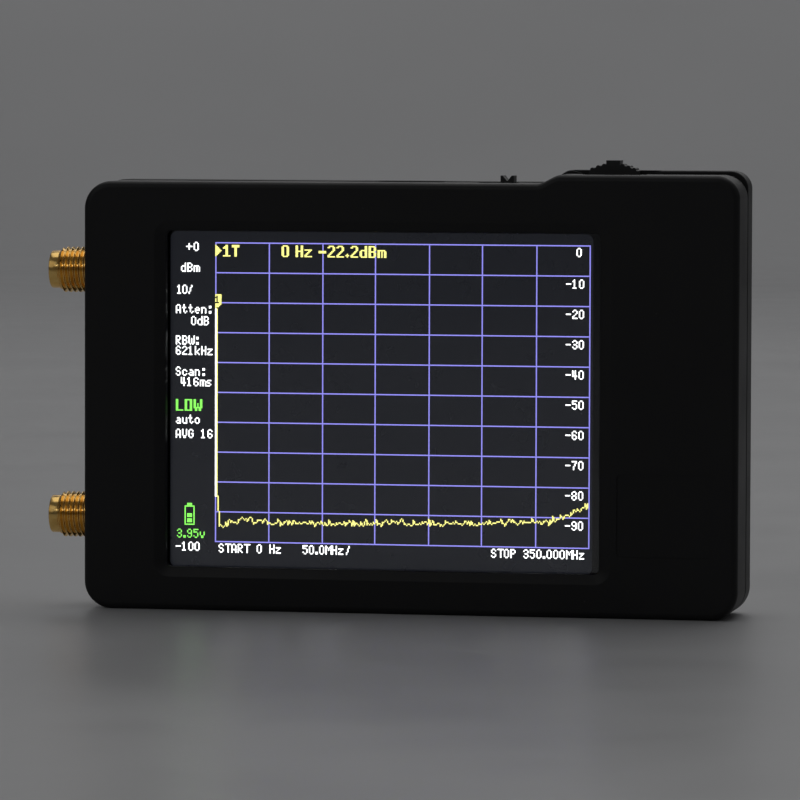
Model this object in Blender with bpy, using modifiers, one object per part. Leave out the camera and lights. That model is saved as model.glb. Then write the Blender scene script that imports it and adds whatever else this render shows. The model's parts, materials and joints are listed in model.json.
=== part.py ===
"""Handheld radio-frequency analyser in a slim two-shell plastic case.

A colour touch display fills most of the front, two gold coaxial jacks stand on the left side, and
the top edge carries a USB-C port, a slide switch and a rocking jog key on a raised shoulder.

Lengths below are millimetres measured from the case's left front bottom corner: x to the right,
y into the case (away from the display) and z up.  at() turns them into the part's own frame, in
metres, with the origin under the middle of the whole object.
"""

import math

import bmesh
import bpy
from mathutils import Matrix, Vector

MM = 0.001
MERGE = 0.000001
PI = math.pi

# Case
CASE_WIDTH = 91.3
CASE_HEIGHT = 59.3
CASE_DEPTH = 15.2
WALL = 1.6
CORNER_RADIUS = 3.8
SHOULDER_CORNER_RADIUS = 3.2
REAR_SHOULDER_CORNER_RADIUS = 2.5
FRONT_EDGE_RADIUS = 0.9
REAR_EDGE_RADIUS = 2.3
PARTING_Y = 8.6
SHELL_GAP = 0.3
SHOULDER_START_X = 63.4
SHOULDER_END_X = 66.8
FRONT_SHOULDER_RISE = 1.05
REAR_SHOULDER_RISE = 1.5
LIP_HEIGHT = 0.9
LIP_THICKNESS = 0.6
LIP_GAP = 0.2
BORE_BOTTOM_Y = 3.4
DISPLAY_RIB_HEIGHTS = ((6.0, 15.5), (42.5, 52.0))
DISPLAY_RIB_END_Y = 4.9
POST_X = 85.5
POST_RADIUS = 1.5
POST_HEIGHTS = (24.0, 36.0)
RIB_WIDTH = 1.0
RIB_ROOT = 0.4

# Window in the front shell
WINDOW_WIDTH = 60.6
WINDOW_HEIGHT = 46.5
WINDOW_CENTRE = (41.9, 29.2)
WINDOW_RADIUS = 0.8
CHAMFER_SIDE = 1.6
CHAMFER_TOP = 1.35
CHAMFER_DEPTH = 0.5
PLATE_RECESS_CENTRE = (81.2, 14.1)
PLATE_RECESS_SIZE = (13.0, 11.4)
PLATE_RECESS_DEPTH = 0.15

# Display stack, front to back
MODULE_WIDTH = 69.2
MODULE_HEIGHT = 50.0
MODULE_CENTRE = (41.53, 29.05)
GASKET_Y = (1.75, 2.0)
TOUCH_Y = (2.1, 2.9)
CELL_Y = (3.0, 4.0)
BACKLIGHT_Y = (4.1, 4.9)

# Circuit board
BOARD_LEFT = 3.6
BOARD_RIGHT = 88.0
BOARD_BOTTOM = 2.6
BOARD_TOP = 56.6
BOARD_Y = (5.4, 6.6)
BOARD_NOTCH = 3.5
CHIP_GAP = 0.1

# Coaxial jacks
JACK_REACH = 5.9
JACK_Y = 6.0
JACK_HEIGHTS = {"upper": 46.75, "lower": 12.6}
JACK_HOLE_RADIUS = 3.45
THREAD_RADIUS = 3.175
THREAD_PITCH = 0.7056
THREAD_DEPTH = 0.4
THREAD_START_X = 0.4
THREAD_TURNS = 7
PILOT_RADIUS = 2.62
JACK_SIDES = 24
FLANGE_SIZE = 6.35
FLANGE_X = (1.75, 3.3)
COUNTERBORE_RADIUS = 2.3
COUNTERBORE_DEPTH = 1.9
DIELECTRIC_BORE_RADIUS = 2.15
DIELECTRIC_RADIUS = 2.05
CONTACT_RADIUS = 0.635
CONTACT_BORE_RADIUS = 0.46
CONTACT_BORE_DEPTH = 2.2
LEG_WIDTH = 1.0
LEG_END_X = 6.5
LEG_Y = ((4.1, BOARD_Y[0] - 0.2), (BOARD_Y[1] + 0.2, 7.9))

# Screws and bosses
SCREW_INSET = 4.6
BOSS_RADIUS = 2.1
BOSS_BORE_RADIUS = 1.2
HEAD_RADIUS = 1.5
HEAD_HEIGHT = 1.1
SHANK_RADIUS = 0.85
COUNTERBORE_HEAD_RADIUS = 1.85
HEAD_SEAT_Y = 13.6
SCREW_TIP_Y = 4.4
HEAD_GAP = 0.3
RECESS_HALF = (0.9, 0.17)
RECESS_START = 0.75

# USB-C port
USB_CENTRE = (44.4, 8.3)
USB_SIZE = (8.94, 3.26)
USB_SHEET = 0.3
USB_Z = (51.6, 59.0)
USB_OPENING = (9.7, 4.0)

# Slide switch
KNOB_SIZE = (1.85, 2.4)
KNOB_REST_X = 58.4
KNOB_Y = 6.9
KNOB_Z = (58.0, 60.2)
SWITCH_TRAVEL = 3.0
SLOT_MARGIN = 0.35
KNOB_CHAMFER = 0.12
KNOB_GROOVE = (0.62, 0.72)
SWITCH_HOUSING = ((-4.3, 6.7, 52.4), (4.3, 9.9, 57.0))
SWITCH_ROOM = ((-3.7, 7.2, 53.0), (3.7, 9.4, 56.4))
SWITCH_TOP_SLOT = ((-2.8, 7.2, 56.0), (2.8, 8.9, 58.0))
SLIDER = ((-1.8, 7.5, 53.3), (1.8, 9.1, 56.0))
SLIDER_POST = ((-0.55, 7.55, 55.5), (0.55, 8.55, 57.6))

# Jog key
JOG_PIVOT_X = 73.0
JOG_PIVOT_Z = 54.95
JOG_Y = (6.3, 9.1)
JOG_RADIUS = 6.85
JOG_INNER_RADIUS = 4.5
JOG_HALF_WIDTH = 3.35
JOG_KEY_WIDTH = 1.9
JOG_KEY_TOP = 62.35
RIB_ANGLES = (10.7, 17.9, 25.3)
RIB_FOOT_ANGLE = 2.4
RIB_TOP_ANGLE = 1.0
RIB_RISE = 0.2
JOG_OPENING_HALF_WIDTH = 4.45
JOG_OPENING_Y = (5.9, 9.6)
SCOOP_RADIUS = 22.0
SCOOP_DEPTH = 0.4
SCOOP_HALF_ANGLE = 18
SCOOP_START_Y = 3.2
LEVER_Y = (7.3, 8.5)
LEVER_RADIUS = 1.2
LEVER_BORE_RADIUS = 0.7
PIN_RADIUS = 0.4
JOG_HOUSING = ((-3.9, 6.7, 51.0), (3.9, 10.6, 56.8))
JOG_ROOM = ((-3.3, 7.0, 51.6), (3.3, 10.3, 56.4))
JOG_TOP_SLOT = ((-1.7, 7.05, 56.0), (1.7, 8.8, 58.0))
JOG_PLUNGER = ((-1.7, 8.9, 52.65), (1.7, 9.9, 56.05))
LEVER_STEM_Z = (0.9, 5.4)
CAP_POCKET_Z = (3.0, 5.7)

# Battery and its leads
BATTERY_LOW = (41.0, 7.2, 8.0)
BATTERY_HIGH = (77.6, 12.9, 37.0)
BATTERY_EDGE = 1.1
BATTERY_SEAL_Y = (8.6, 9.6)
BATTERY_SEAL_RISE = 2.4
BATTERY_RIBS_X = (39.3, 79.0)
BATTERY_RIB_Z = (12.0, 36.0)
TAPE_Y = (6.7, 7.1)
PLUG_LOW = (66.0, 6.7, 47.2)
PLUG_HIGH = (71.0, 10.4, 50.4)
LEAD_SPACING = 2.0
LEAD_RADIUS = 0.45
LEAD_START = (65.5, 9.1, 39.8)
LEAD_END_Z = 46.8
LEAD_BULGE = 0.9

# Shield over the radio parts
SHIELD_CENTRE = (22.0, 39.5)
SHIELD_SIZE = (26.0, 24.0)
SHIELD_SHEET = 0.3
SHIELD_FRAME_HEIGHT = 2.0
SHIELD_LID_REACH = (0.6, 2.5)
SHIELD_LID_GAP = 0.2

TOTAL_WIDTH = CASE_WIDTH + JACK_REACH
CENTRE_X = CASE_WIDTH - TOTAL_WIDTH / 2

COLLECTION_NAME = "handheld_rf_analyser"


def at(x, y, z):
    """The place in the part's frame, in metres, of a point given in case millimetres."""
    return Vector(((x - CENTRE_X) * MM, (y - CASE_DEPTH / 2) * MM, z * MM))


# ---------------------------------------------------------------- scene and materials

def clear_scene():
    for item in list(bpy.data.objects):
        bpy.data.objects.remove(item, do_unlink=True)


def new_collection(name):
    collection = bpy.data.collections.new(name)
    bpy.context.scene.collection.children.link(collection)
    return collection


def material(name, color, roughness, metallic=0.0, alpha=1.0):
    made = bpy.data.materials.new(name)
    made.use_nodes = True
    shader = made.node_tree.nodes["Principled BSDF"]
    shader.inputs["Base Color"].default_value = (*color, 1.0)
    shader.inputs["Roughness"].default_value = roughness
    shader.inputs["Metallic"].default_value = metallic
    shader.inputs["Alpha"].default_value = alpha
    return made


clear_scene()
PARTS = new_collection(COLLECTION_NAME)
CUTTERS = new_collection("cutters")

CASE_PLASTIC = ("case_plastic", (0.012, 0.012, 0.013), 0.5)
KEY_PLASTIC = ("key_plastic", (0.015, 0.015, 0.016), 0.55)
SCREW_STEEL = ("screw_steel", (0.05, 0.05, 0.055), 0.35, 1.0)
FOAM = ("foam", (0.03, 0.03, 0.03), 0.95)
TOUCH_GLASS = ("touch_glass", (0.05, 0.055, 0.06), 0.08, 0.0, 0.3)
CELL_GLASS = ("cell_glass", (0.02, 0.022, 0.026), 0.15)
BACKLIGHT_PLASTIC = ("backlight_plastic", (0.8, 0.8, 0.8), 0.4)
FLEX_FILM = ("flex_film", (0.75, 0.33, 0.06), 0.35)
BOARD_LAMINATE = ("board_laminate", (0.01, 0.035, 0.06), 0.4)
CHIP_EPOXY = ("chip_epoxy", (0.02, 0.02, 0.02), 0.6)
CAN_STEEL = ("can_steel", (0.66, 0.66, 0.67), 0.3, 1.0)
CELL_FOIL = ("cell_foil", (0.72, 0.72, 0.75), 0.35, 0.8)
GOLD = ("gold_plate", (0.83, 0.58, 0.22), 0.25, 1.0)
PTFE = ("ptfe", (0.86, 0.85, 0.82), 0.5)
CONNECTOR_PLASTIC = ("connector_plastic", (0.82, 0.8, 0.74), 0.5)
BLACK_NYLON = ("black_nylon", (0.02, 0.02, 0.02), 0.5)
RED_WIRE = ("red_wire", (0.6, 0.02, 0.02), 0.4)
BLACK_WIRE = ("black_wire", (0.015, 0.015, 0.015), 0.4)
LED_RESIN = ("led_resin", (0.75, 0.85, 0.7), 0.2)


def finish(item, spec, smooth_angle=30.0):
    """Gives a part its own material and shading and puts it in the object's collection."""
    made = material(f"{item.name}_{spec[0]}", *spec[1:])
    item.data.materials.clear()
    item.data.materials.append(made)
    item.data.shade_smooth()
    item.data.set_sharp_from_angle(angle=math.radians(smooth_angle))
    PARTS.objects.link(item)
    return item


def as_cutter(item):
    item.hide_render = True
    item.display_type = "WIRE"
    CUTTERS.objects.link(item)
    return item


def boolean(target, tool, operation="DIFFERENCE"):
    modifier = target.modifiers.new(f"{operation.lower()}_{tool.name}", "BOOLEAN")
    modifier.operation = operation
    modifier.solver = "EXACT"
    modifier.object = tool


def bevel(item, width, segments=2, weighted=False, angle=40.0):
    modifier = item.modifiers.new("rounded_edges", "BEVEL")
    modifier.width = width * MM
    modifier.segments = segments
    modifier.limit_method = "WEIGHT" if weighted else "ANGLE"
    modifier.angle_limit = math.radians(angle)
    modifier.use_clamp_overlap = False


# ---------------------------------------------------------------- outlines, in millimetres

def arc(centre, radius, start, end, steps=6):
    """Points on an arc from angle start to angle end, in degrees."""
    points = []
    for step in range(steps + 1):
        angle = math.radians(start + (end - start) * step / steps)
        points.append((centre[0] + radius * math.cos(angle), centre[1] + radius * math.sin(angle)))
    return points


def rounded_rectangle(centre, size, radius, steps=4):
    half_x = size[0] / 2 - radius
    half_y = size[1] / 2 - radius
    cx, cy = centre
    corners = ((half_x, -half_y, -90), (half_x, half_y, 0), (-half_x, half_y, 90), (-half_x, -half_y, 180))
    points = []
    for dx, dy, start in corners:
        points += arc((cx + dx, cy + dy), radius, start, start + 90, steps)
    return points


def case_outline(inset, rise, shoulder_radius=SHOULDER_CORNER_RADIUS):
    """The case seen from the front, counterclockwise, `inset` inside its outer face.

    `rise` is how far the shoulder under the jog key stands above the rest of the top edge.
    """
    radius = CORNER_RADIUS - inset
    right = CASE_WIDTH - CORNER_RADIUS
    low = CORNER_RADIUS
    high = CASE_HEIGHT - CORNER_RADIUS
    points = arc((low, low), radius, 180, 270)
    points += arc((right, low), radius, 270, 360)
    shoulder_x = CASE_WIDTH - shoulder_radius
    shoulder_z = CASE_HEIGHT + rise - shoulder_radius
    points += arc((shoulder_x, shoulder_z), shoulder_radius - inset, 0, 90)
    steps = 8
    for step in range(steps + 1):
        share = 1 - step / steps
        height = rise * share * share * (3 - 2 * share)
        x = SHOULDER_START_X + (SHOULDER_END_X - SHOULDER_START_X) * share
        points.append((x, CASE_HEIGHT + height - inset))
    points += arc((low, high), radius, 90, 180)
    return points


# ---------------------------------------------------------------- solid makers

TURNS = {
    "X": Matrix(((0, 0, 1), (1, 0, 0), (0, 1, 0))),
    "Y": Matrix(((1, 0, 0), (0, 0, -1), (0, 1, 0))),
    "Z": Matrix.Identity(3),
}


def prism(name, outline, along, span):
    """A flat outline made solid along one axis: x-z outlines go along Y, x-y along Z, y-z along X."""
    middle = (span[0] + span[1]) / 2
    centre = (sum(p[0] for p in outline) / len(outline), sum(p[1] for p in outline) / len(outline))
    curve = bpy.data.curves.new(name, "CURVE")
    curve.dimensions = "2D"
    curve.fill_mode = "BOTH"
    curve.extrude = (span[1] - span[0]) / 2 * MM
    curve.render_resolution_u = 0
    spline = curve.splines.new("POLY")
    spline.points.add(len(outline) - 1)
    for point, (u, v) in zip(spline.points, outline):
        point.co = ((u - centre[0]) * MM, (v - centre[1]) * MM, 0, 1)
    spline.use_cyclic_u = True
    places = {
        "X": at(middle, centre[0], centre[1]),
        "Y": at(centre[0], middle, centre[1]),
        "Z": at(centre[0], centre[1], middle),
    }
    return as_mesh(name, curve, places[along], TURNS[along])


def inside_cap(edge):
    """Whether an edge lies between two triangles of the same flat end."""
    level = edge.verts[0].co.z
    return all(abs(vertex.co.z - level) < MERGE for face in edge.link_faces for vertex in face.verts)


def as_mesh(name, curve, place, turn):
    """The curve as a welded mesh object with whole flat faces, standing at `place`."""
    guide = bpy.data.objects.new(name + "_guide", curve)
    CUTTERS.objects.link(guide)
    bpy.context.view_layer.update()
    evaluated = guide.evaluated_get(bpy.context.evaluated_depsgraph_get())
    mesh = bpy.data.meshes.new_from_object(evaluated)
    bpy.data.objects.remove(guide, do_unlink=True)
    work = bmesh.new()
    work.from_mesh(mesh)
    bmesh.ops.remove_doubles(work, verts=work.verts, dist=MERGE)
    flat = [edge for edge in work.edges if inside_cap(edge)]
    bmesh.ops.dissolve_edges(work, edges=flat, use_verts=False)
    bmesh.ops.recalc_face_normals(work, faces=work.faces)
    work.to_mesh(mesh)
    work.free()
    mesh.name = name
    mesh.transform(turn.to_4x4())
    item = bpy.data.objects.new(name, mesh)
    item.location = place
    return item


def box(name, low, high):
    centre = [(a + b) / 2 for a, b in zip(low, high)]
    size = [(b - a) * MM for a, b in zip(low, high)]
    mesh = bpy.data.meshes.new(name)
    work = bmesh.new()
    bmesh.ops.create_cube(work, size=1.0, matrix=Matrix.Diagonal((*size, 1.0)))
    work.to_mesh(mesh)
    work.free()
    item = bpy.data.objects.new(name, mesh)
    item.location = at(*centre)
    return item


def cylinder(name, along, centre, radius, span, sides=24):
    """A solid cylinder along an axis; centre holds its two other coordinates, in axis order."""
    depth = (span[1] - span[0]) * MM
    mesh = bpy.data.meshes.new(name)
    work = bmesh.new()
    bmesh.ops.create_cone(
        work, cap_ends=True, segments=sides, radius1=radius * MM, radius2=radius * MM, depth=depth
    )
    work.to_mesh(mesh)
    work.free()
    mesh.transform(TURNS[along].to_4x4())
    middle = (span[0] + span[1]) / 2
    places = {
        "X": at(middle, *centre),
        "Y": at(centre[0], middle, centre[1]),
        "Z": at(*centre, middle),
    }
    item = bpy.data.objects.new(name, mesh)
    item.location = places[along]
    return item


def turned(name, profile, place, turn, sides, closed):
    """A profile of (radius, height) points, top to bottom, spun about its local Z by a Screw."""
    mesh = bpy.data.meshes.new(name)
    vertices = [(radius * MM, 0, height * MM) for radius, height in profile]
    edges = [(i, i + 1) for i in range(len(profile) - 1)]
    if closed:
        edges.append((len(profile) - 1, 0))
    mesh.from_pydata(vertices, edges, [])
    item = bpy.data.objects.new(name, mesh)
    item.location = place
    item.rotation_euler = turn.to_euler()
    screw = item.modifiers.new("spin", "SCREW")
    screw.steps = sides
    screw.render_steps = sides
    screw.use_merge_vertices = True
    screw.merge_threshold = MERGE
    screw.use_smooth_shade = True
    return item


def loft(name, near, near_y, far, far_y):
    """A solid between two x-z outlines with the same number of points, at two depths."""
    mesh = bpy.data.meshes.new(name)
    work = bmesh.new()
    rings = []
    for outline, y in ((near, near_y), (far, far_y)):
        rings.append([work.verts.new(at(x, y, z)) for x, z in outline])
    count = len(near)
    for i in range(count):
        j = (i + 1) % count
        work.faces.new((rings[0][i], rings[0][j], rings[1][j], rings[1][i]))
    work.faces.new(rings[0])
    work.faces.new(rings[1])
    bmesh.ops.recalc_face_normals(work, faces=work.faces)
    work.to_mesh(mesh)
    work.free()
    return bpy.data.objects.new(name, mesh)


def wire(name, points, radius, spec):
    """A round lead through its points, with closed ends."""
    curve = bpy.data.curves.new(name, "CURVE")
    curve.dimensions = "3D"
    curve.bevel_depth = radius * MM
    curve.bevel_resolution = 2
    curve.use_fill_caps = True
    curve.render_resolution_u = 0
    spline = curve.splines.new("POLY")
    spline.points.add(len(points) - 1)
    for point, place in zip(spline.points, points):
        point.co = (*at(*place), 1)
    item = bpy.data.objects.new(name, curve)
    curve.materials.append(material(f"{name}_{spec[0]}", *spec[1:]))
    PARTS.objects.link(item)
    return item


def weight_end_edges(item, y):
    """Marks the edges that lie on the plane y for a weighted bevel."""
    mesh = item.data
    level = at(0, y, 0).y - item.location.y
    weights = mesh.attributes.new("bevel_weight_edge", "FLOAT", "EDGE")
    for edge in mesh.edges:
        ends = [mesh.vertices[i].co.y for i in edge.vertices]
        weights.data[edge.index].value = float(all(abs(end - level) < MERGE for end in ends))


# ---------------------------------------------------------------- shared cutters

def screw_places():
    right = CASE_WIDTH - SCREW_INSET
    top = CASE_HEIGHT - SCREW_INSET
    return (
        (SCREW_INSET, SCREW_INSET),
        (right, SCREW_INSET),
        (SCREW_INSET, top),
        (right, top),
    )


def opening_cutters():
    """The openings that both shells share: jacks, USB-C port and jog key."""
    cutters = []
    for side, height in JACK_HEIGHTS.items():
        through = (-1.0, WALL + 0.4)
        hole = cylinder(f"cut_{side}_jack", "X", (JACK_Y, height), JACK_HOLE_RADIUS, through, 32)
        cutters.append(as_cutter(hole))
    usb = rounded_rectangle(USB_CENTRE, USB_OPENING, USB_OPENING[1] / 2 - 0.01)
    usb_hole = prism("cut_usb", usb, "Z", (CASE_HEIGHT - WALL - 0.6, CASE_HEIGHT + 2))
    cutters.append(as_cutter(usb_hole))
    jog = box(
        "cut_jog",
        (JOG_PIVOT_X - JOG_OPENING_HALF_WIDTH, JOG_OPENING_Y[0], CASE_HEIGHT - WALL - 0.6),
        (JOG_PIVOT_X + JOG_OPENING_HALF_WIDTH, JOG_OPENING_Y[1], CASE_HEIGHT + REAR_SHOULDER_RISE + 1),
    )
    cutters.append(as_cutter(jog))
    scoop_z = CASE_HEIGHT + FRONT_SHOULDER_RISE + SCOOP_RADIUS - SCOOP_DEPTH
    low_angle = 270 - SCOOP_HALF_ANGLE
    high_angle = 270 + SCOOP_HALF_ANGLE
    outline = arc((JOG_PIVOT_X, scoop_z), SCOOP_RADIUS, low_angle, high_angle, 16)
    cutters.append(as_cutter(prism("cut_jog_scoop", outline, "Y", (SCOOP_START_Y, JOG_OPENING_Y[1]))))
    return cutters


# ---------------------------------------------------------------- case

def make_front_case(openings):
    rise = FRONT_SHOULDER_RISE
    case = prism("front_case", case_outline(0, rise), "Y", (0, PARTING_Y))
    weight_end_edges(case, 0)
    bevel(case, FRONT_EDGE_RADIUS, 3, weighted=True)
    cavity = prism("cut_front_cavity", case_outline(WALL, rise), "Y", (WALL, PARTING_Y + 1))
    boolean(case, as_cutter(cavity))
    rebate_outline = case_outline(WALL - LIP_THICKNESS - LIP_GAP, rise)
    rebate_y = PARTING_Y + SHELL_GAP - LIP_HEIGHT - LIP_GAP
    rebate = prism("cut_front_rebate", rebate_outline, "Y", (rebate_y, PARTING_Y + 1))
    boolean(case, as_cutter(rebate))
    cut_window(case)
    recess = rounded_rectangle(PLATE_RECESS_CENTRE, PLATE_RECESS_SIZE, 0.6, 2)
    boolean(case, as_cutter(prism("cut_plate_recess", recess, "Y", (-1, PLATE_RECESS_DEPTH))))
    root_y = WALL - RIB_ROOT
    for number, place in enumerate(screw_places()):
        span = (root_y, PARTING_Y - 0.3)
        boss = cylinder(f"add_front_boss_{number}", "Y", place, BOSS_RADIUS, span, 20)
        boolean(case, as_cutter(boss), "UNION")
    left = MODULE_CENTRE[0] + MODULE_WIDTH / 2 + 0.4
    for number, (low, high) in enumerate(DISPLAY_RIB_HEIGHTS):
        corner = (left + RIB_WIDTH, DISPLAY_RIB_END_Y, high)
        rib = box(f"add_display_rib_{number}", (left, root_y, low), corner)
        boolean(case, as_cutter(rib), "UNION")
    for number, height in enumerate(POST_HEIGHTS):
        span = (root_y, BOARD_Y[0] - 0.3)
        post = cylinder(f"add_board_post_{number}", "Y", (POST_X, height), POST_RADIUS, span, 16)
        boolean(case, as_cutter(post), "UNION")
    for number, place in enumerate(screw_places()):
        span = (BORE_BOTTOM_Y, PARTING_Y + 1)
        bore = cylinder(f"cut_front_boss_{number}", "Y", place, BOSS_BORE_RADIUS, span, 20)
        boolean(case, as_cutter(bore))
    for cutter in openings:
        boolean(case, cutter)
    boolean(case, as_cutter(switch_slot()))
    return finish(case, CASE_PLASTIC)


def cut_window(case):
    """The display window with its bevelled surround."""
    window = rounded_rectangle(WINDOW_CENTRE, (WINDOW_WIDTH, WINDOW_HEIGHT), WINDOW_RADIUS)
    boolean(case, as_cutter(prism("cut_window", window, "Y", (-1, WALL + 1))))
    overshoot = 0.2
    spread = 1 + overshoot / CHAMFER_DEPTH
    width = WINDOW_WIDTH + 2 * CHAMFER_SIDE * spread
    height = WINDOW_HEIGHT + 2 * CHAMFER_TOP * spread
    outer = rounded_rectangle(WINDOW_CENTRE, (width, height), WINDOW_RADIUS + CHAMFER_TOP * spread)
    chamfer = loft("cut_window_chamfer", outer, -overshoot, window, CHAMFER_DEPTH)
    boolean(case, as_cutter(chamfer))


def switch_slot():
    left = KNOB_REST_X - SWITCH_TRAVEL - KNOB_SIZE[0] / 2 - SLOT_MARGIN
    right = KNOB_REST_X + KNOB_SIZE[0] / 2 + SLOT_MARGIN
    front = KNOB_Y - KNOB_SIZE[1] / 2 - SLOT_MARGIN
    return box(
        "cut_switch_slot",
        (left, front, CASE_HEIGHT - WALL - 0.6),
        (right, PARTING_Y + SHELL_GAP + 0.001, CASE_HEIGHT + 1),
    )


def make_rear_case(openings):
    start = PARTING_Y + SHELL_GAP
    inside = CASE_DEPTH - WALL
    outer = case_outline(0, REAR_SHOULDER_RISE, REAR_SHOULDER_CORNER_RADIUS)
    case = prism("rear_case", outer, "Y", (start, CASE_DEPTH))
    weight_end_edges(case, CASE_DEPTH)
    bevel(case, REAR_EDGE_RADIUS, 4, weighted=True)
    lip_outline = case_outline(WALL - LIP_THICKNESS, FRONT_SHOULDER_RISE)
    lip = prism("add_rear_lip", lip_outline, "Y", (start - LIP_HEIGHT, start + 0.5))
    boolean(case, as_cutter(lip), "UNION")
    hollow = case_outline(WALL, FRONT_SHOULDER_RISE)
    cavity = prism("cut_rear_cavity", hollow, "Y", (start - LIP_HEIGHT - 1, inside))
    boolean(case, as_cutter(cavity))
    for number, place in enumerate(screw_places()):
        span = (start, inside + 0.6)
        boss = cylinder(f"add_rear_boss_{number}", "Y", place, BOSS_RADIUS + 0.3, span, 20)
        boolean(case, as_cutter(boss), "UNION")
    for number, x in enumerate(BATTERY_RIBS_X):
        low = (x, start, BATTERY_RIB_Z[0])
        high = (x + RIB_WIDTH, inside + RIB_ROOT, BATTERY_RIB_Z[1])
        boolean(case, as_cutter(box(f"add_battery_rib_{number}", low, high)), "UNION")
    for number, place in enumerate(screw_places()):
        through = (start - 2, CASE_DEPTH + 1)
        hole = cylinder(f"cut_rear_hole_{number}", "Y", place, BOSS_BORE_RADIUS, through, 20)
        boolean(case, as_cutter(hole))
        depth = (HEAD_SEAT_Y, CASE_DEPTH + 1)
        seat = cylinder(f"cut_rear_seat_{number}", "Y", place, COUNTERBORE_HEAD_RADIUS, depth, 24)
        boolean(case, as_cutter(seat))
    for cutter in openings:
        boolean(case, cutter)
    boolean(case, bpy.data.objects["cut_switch_slot"])
    return finish(case, CASE_PLASTIC)


def make_screws():
    """Four cross-recessed self-tapping screws that go in from the back."""
    tip = HEAD_SEAT_Y - SCREW_TIP_Y
    profile = (
        (0.0, HEAD_HEIGHT),
        (HEAD_RADIUS * 0.75, HEAD_HEIGHT),
        (HEAD_RADIUS, HEAD_HEIGHT * 0.55),
        (HEAD_RADIUS, 0.0),
        (SHANK_RADIUS, 0.0),
        (SHANK_RADIUS, -tip + 1.0),
        (0.0, -tip),
    )
    turn = Matrix.Rotation(-PI / 2, 3, "X")
    for number, (x, z) in enumerate(screw_places(), 1):
        name = f"case_screw_{number}"
        screw = turned(name, profile, at(x, HEAD_SEAT_Y + HEAD_GAP, z), turn, 16, closed=False)
        for slot, (half_x, half_z) in enumerate((RECESS_HALF, RECESS_HALF[::-1])):
            low = (x - half_x, HEAD_SEAT_Y + RECESS_START, z - half_z)
            high = (x + half_x, HEAD_SEAT_Y + HEAD_HEIGHT + 1.0, z + half_z)
            boolean(screw, as_cutter(box(f"cut_{name}_{slot}", low, high)))
        finish(screw, SCREW_STEEL)


# ---------------------------------------------------------------- display

def module_rectangle(margin, radius=0.5):
    size = (MODULE_WIDTH - 2 * margin, MODULE_HEIGHT - 2 * margin)
    return rounded_rectangle(MODULE_CENTRE, size, radius, 2)


def make_display():
    gasket = prism("window_gasket", module_rectangle(0.6), "Y", GASKET_Y)
    hole = rounded_rectangle(WINDOW_CENTRE, (WINDOW_WIDTH + 1.6, WINDOW_HEIGHT + 1.0), 0.8, 2)
    boolean(gasket, as_cutter(prism("cut_gasket", hole, "Y", (GASKET_Y[0] - 1, GASKET_Y[1] + 1))))
    finish(gasket, FOAM)
    finish(prism("touch_panel", module_rectangle(0.2), "Y", TOUCH_Y), TOUCH_GLASS)
    finish(prism("lcd_cell", module_rectangle(0.4), "Y", CELL_Y), CELL_GLASS)
    backlight = prism("backlight_tray", module_rectangle(0.0), "Y", BACKLIGHT_Y)
    finish(backlight, BACKLIGHT_PLASTIC)


def strip(path, thickness):
    """The outline of a thin strip that follows a path, thickened to its left."""
    other = []
    for i, point in enumerate(path):
        before = Vector(path[max(i - 1, 0)])
        after = Vector(path[min(i + 1, len(path) - 1)])
        along = (after - before).normalized()
        other.append((point[0] - along.y * thickness, point[1] + along.x * thickness))
    return list(path) + other[::-1]


def make_flexes():
    """Film leads that run from the display and the touch panel to the board's front face."""
    edge = MODULE_CENTRE[0] + MODULE_WIDTH / 2 - 0.1
    leads = {
        "display_flex": (CELL_Y, edge + 4.3, (19.0, 39.0)),
        "touch_flex": (TOUCH_Y, edge + 4.9, (39.6, 42.0)),
    }
    for name, (layer, landing_x, heights) in leads.items():
        start_y = layer[0] + 0.3
        end_y = BOARD_Y[0] - 0.3
        path = [(edge, start_y), (edge + 0.8, start_y)]
        for step in range(1, 6):
            share = step / 6
            ease = share * share * (3 - 2 * share)
            path.append((edge + 0.8 + (landing_x - edge - 2.3) * share, start_y + (end_y - start_y) * ease))
        path += [(landing_x - 1.5, end_y), (landing_x, end_y)]
        finish(prism(name, strip(path, 0.15), "Z", heights), FLEX_FILM)


# ---------------------------------------------------------------- board and what is on it

def make_board():
    left, right, low, high, cut = BOARD_LEFT, BOARD_RIGHT, BOARD_BOTTOM, BOARD_TOP, BOARD_NOTCH
    inner_low = SCREW_INSET + BOSS_RADIUS + 0.7
    inner_high = CASE_HEIGHT - inner_low
    inner_right = CASE_WIDTH - inner_low
    outline = (
        (left + cut, low),
        (inner_right, low),
        (inner_right, inner_low),
        (right, inner_low),
        (right, inner_high),
        (inner_right, inner_high),
        (inner_right, high),
        (left + cut, high),
        (left + cut, inner_high),
        (left, inner_high),
        (left, inner_low),
        (left + cut, inner_low),
    )
    board = prism("main_board", outline, "Y", BOARD_Y)
    notch = box("cut_board_jog", (JOG_PIVOT_X - 5.6, 4, 56.0), (JOG_PIVOT_X + 5.6, 8, 58))
    boolean(board, as_cutter(notch))
    finish(board, BOARD_LAMINATE)


CHIPS = {
    "microcontroller": ((21.0, 14.0), (7.0, 7.0), 1.4, 0.12),
    "mixer_chip": ((17.0, 45.5), (4.0, 4.0), 0.9, 0.08),
    "synthesizer_chip": ((27.0, 45.5), (4.0, 4.0), 0.9, 0.08),
    "receiver_chip": ((17.0, 34.0), (5.0, 5.0), 0.9, 0.08),
    "charger_chip": ((52.0, 47.5), (4.9, 3.9), 1.3, 0.1),
    "reference_oscillator": ((30.0, 16.0), (3.2, 2.5), 0.9, 0.1),
    "band_filter": ((27.0, 34.0), (3.8, 3.8), 1.1, 0.1),
}


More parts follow.
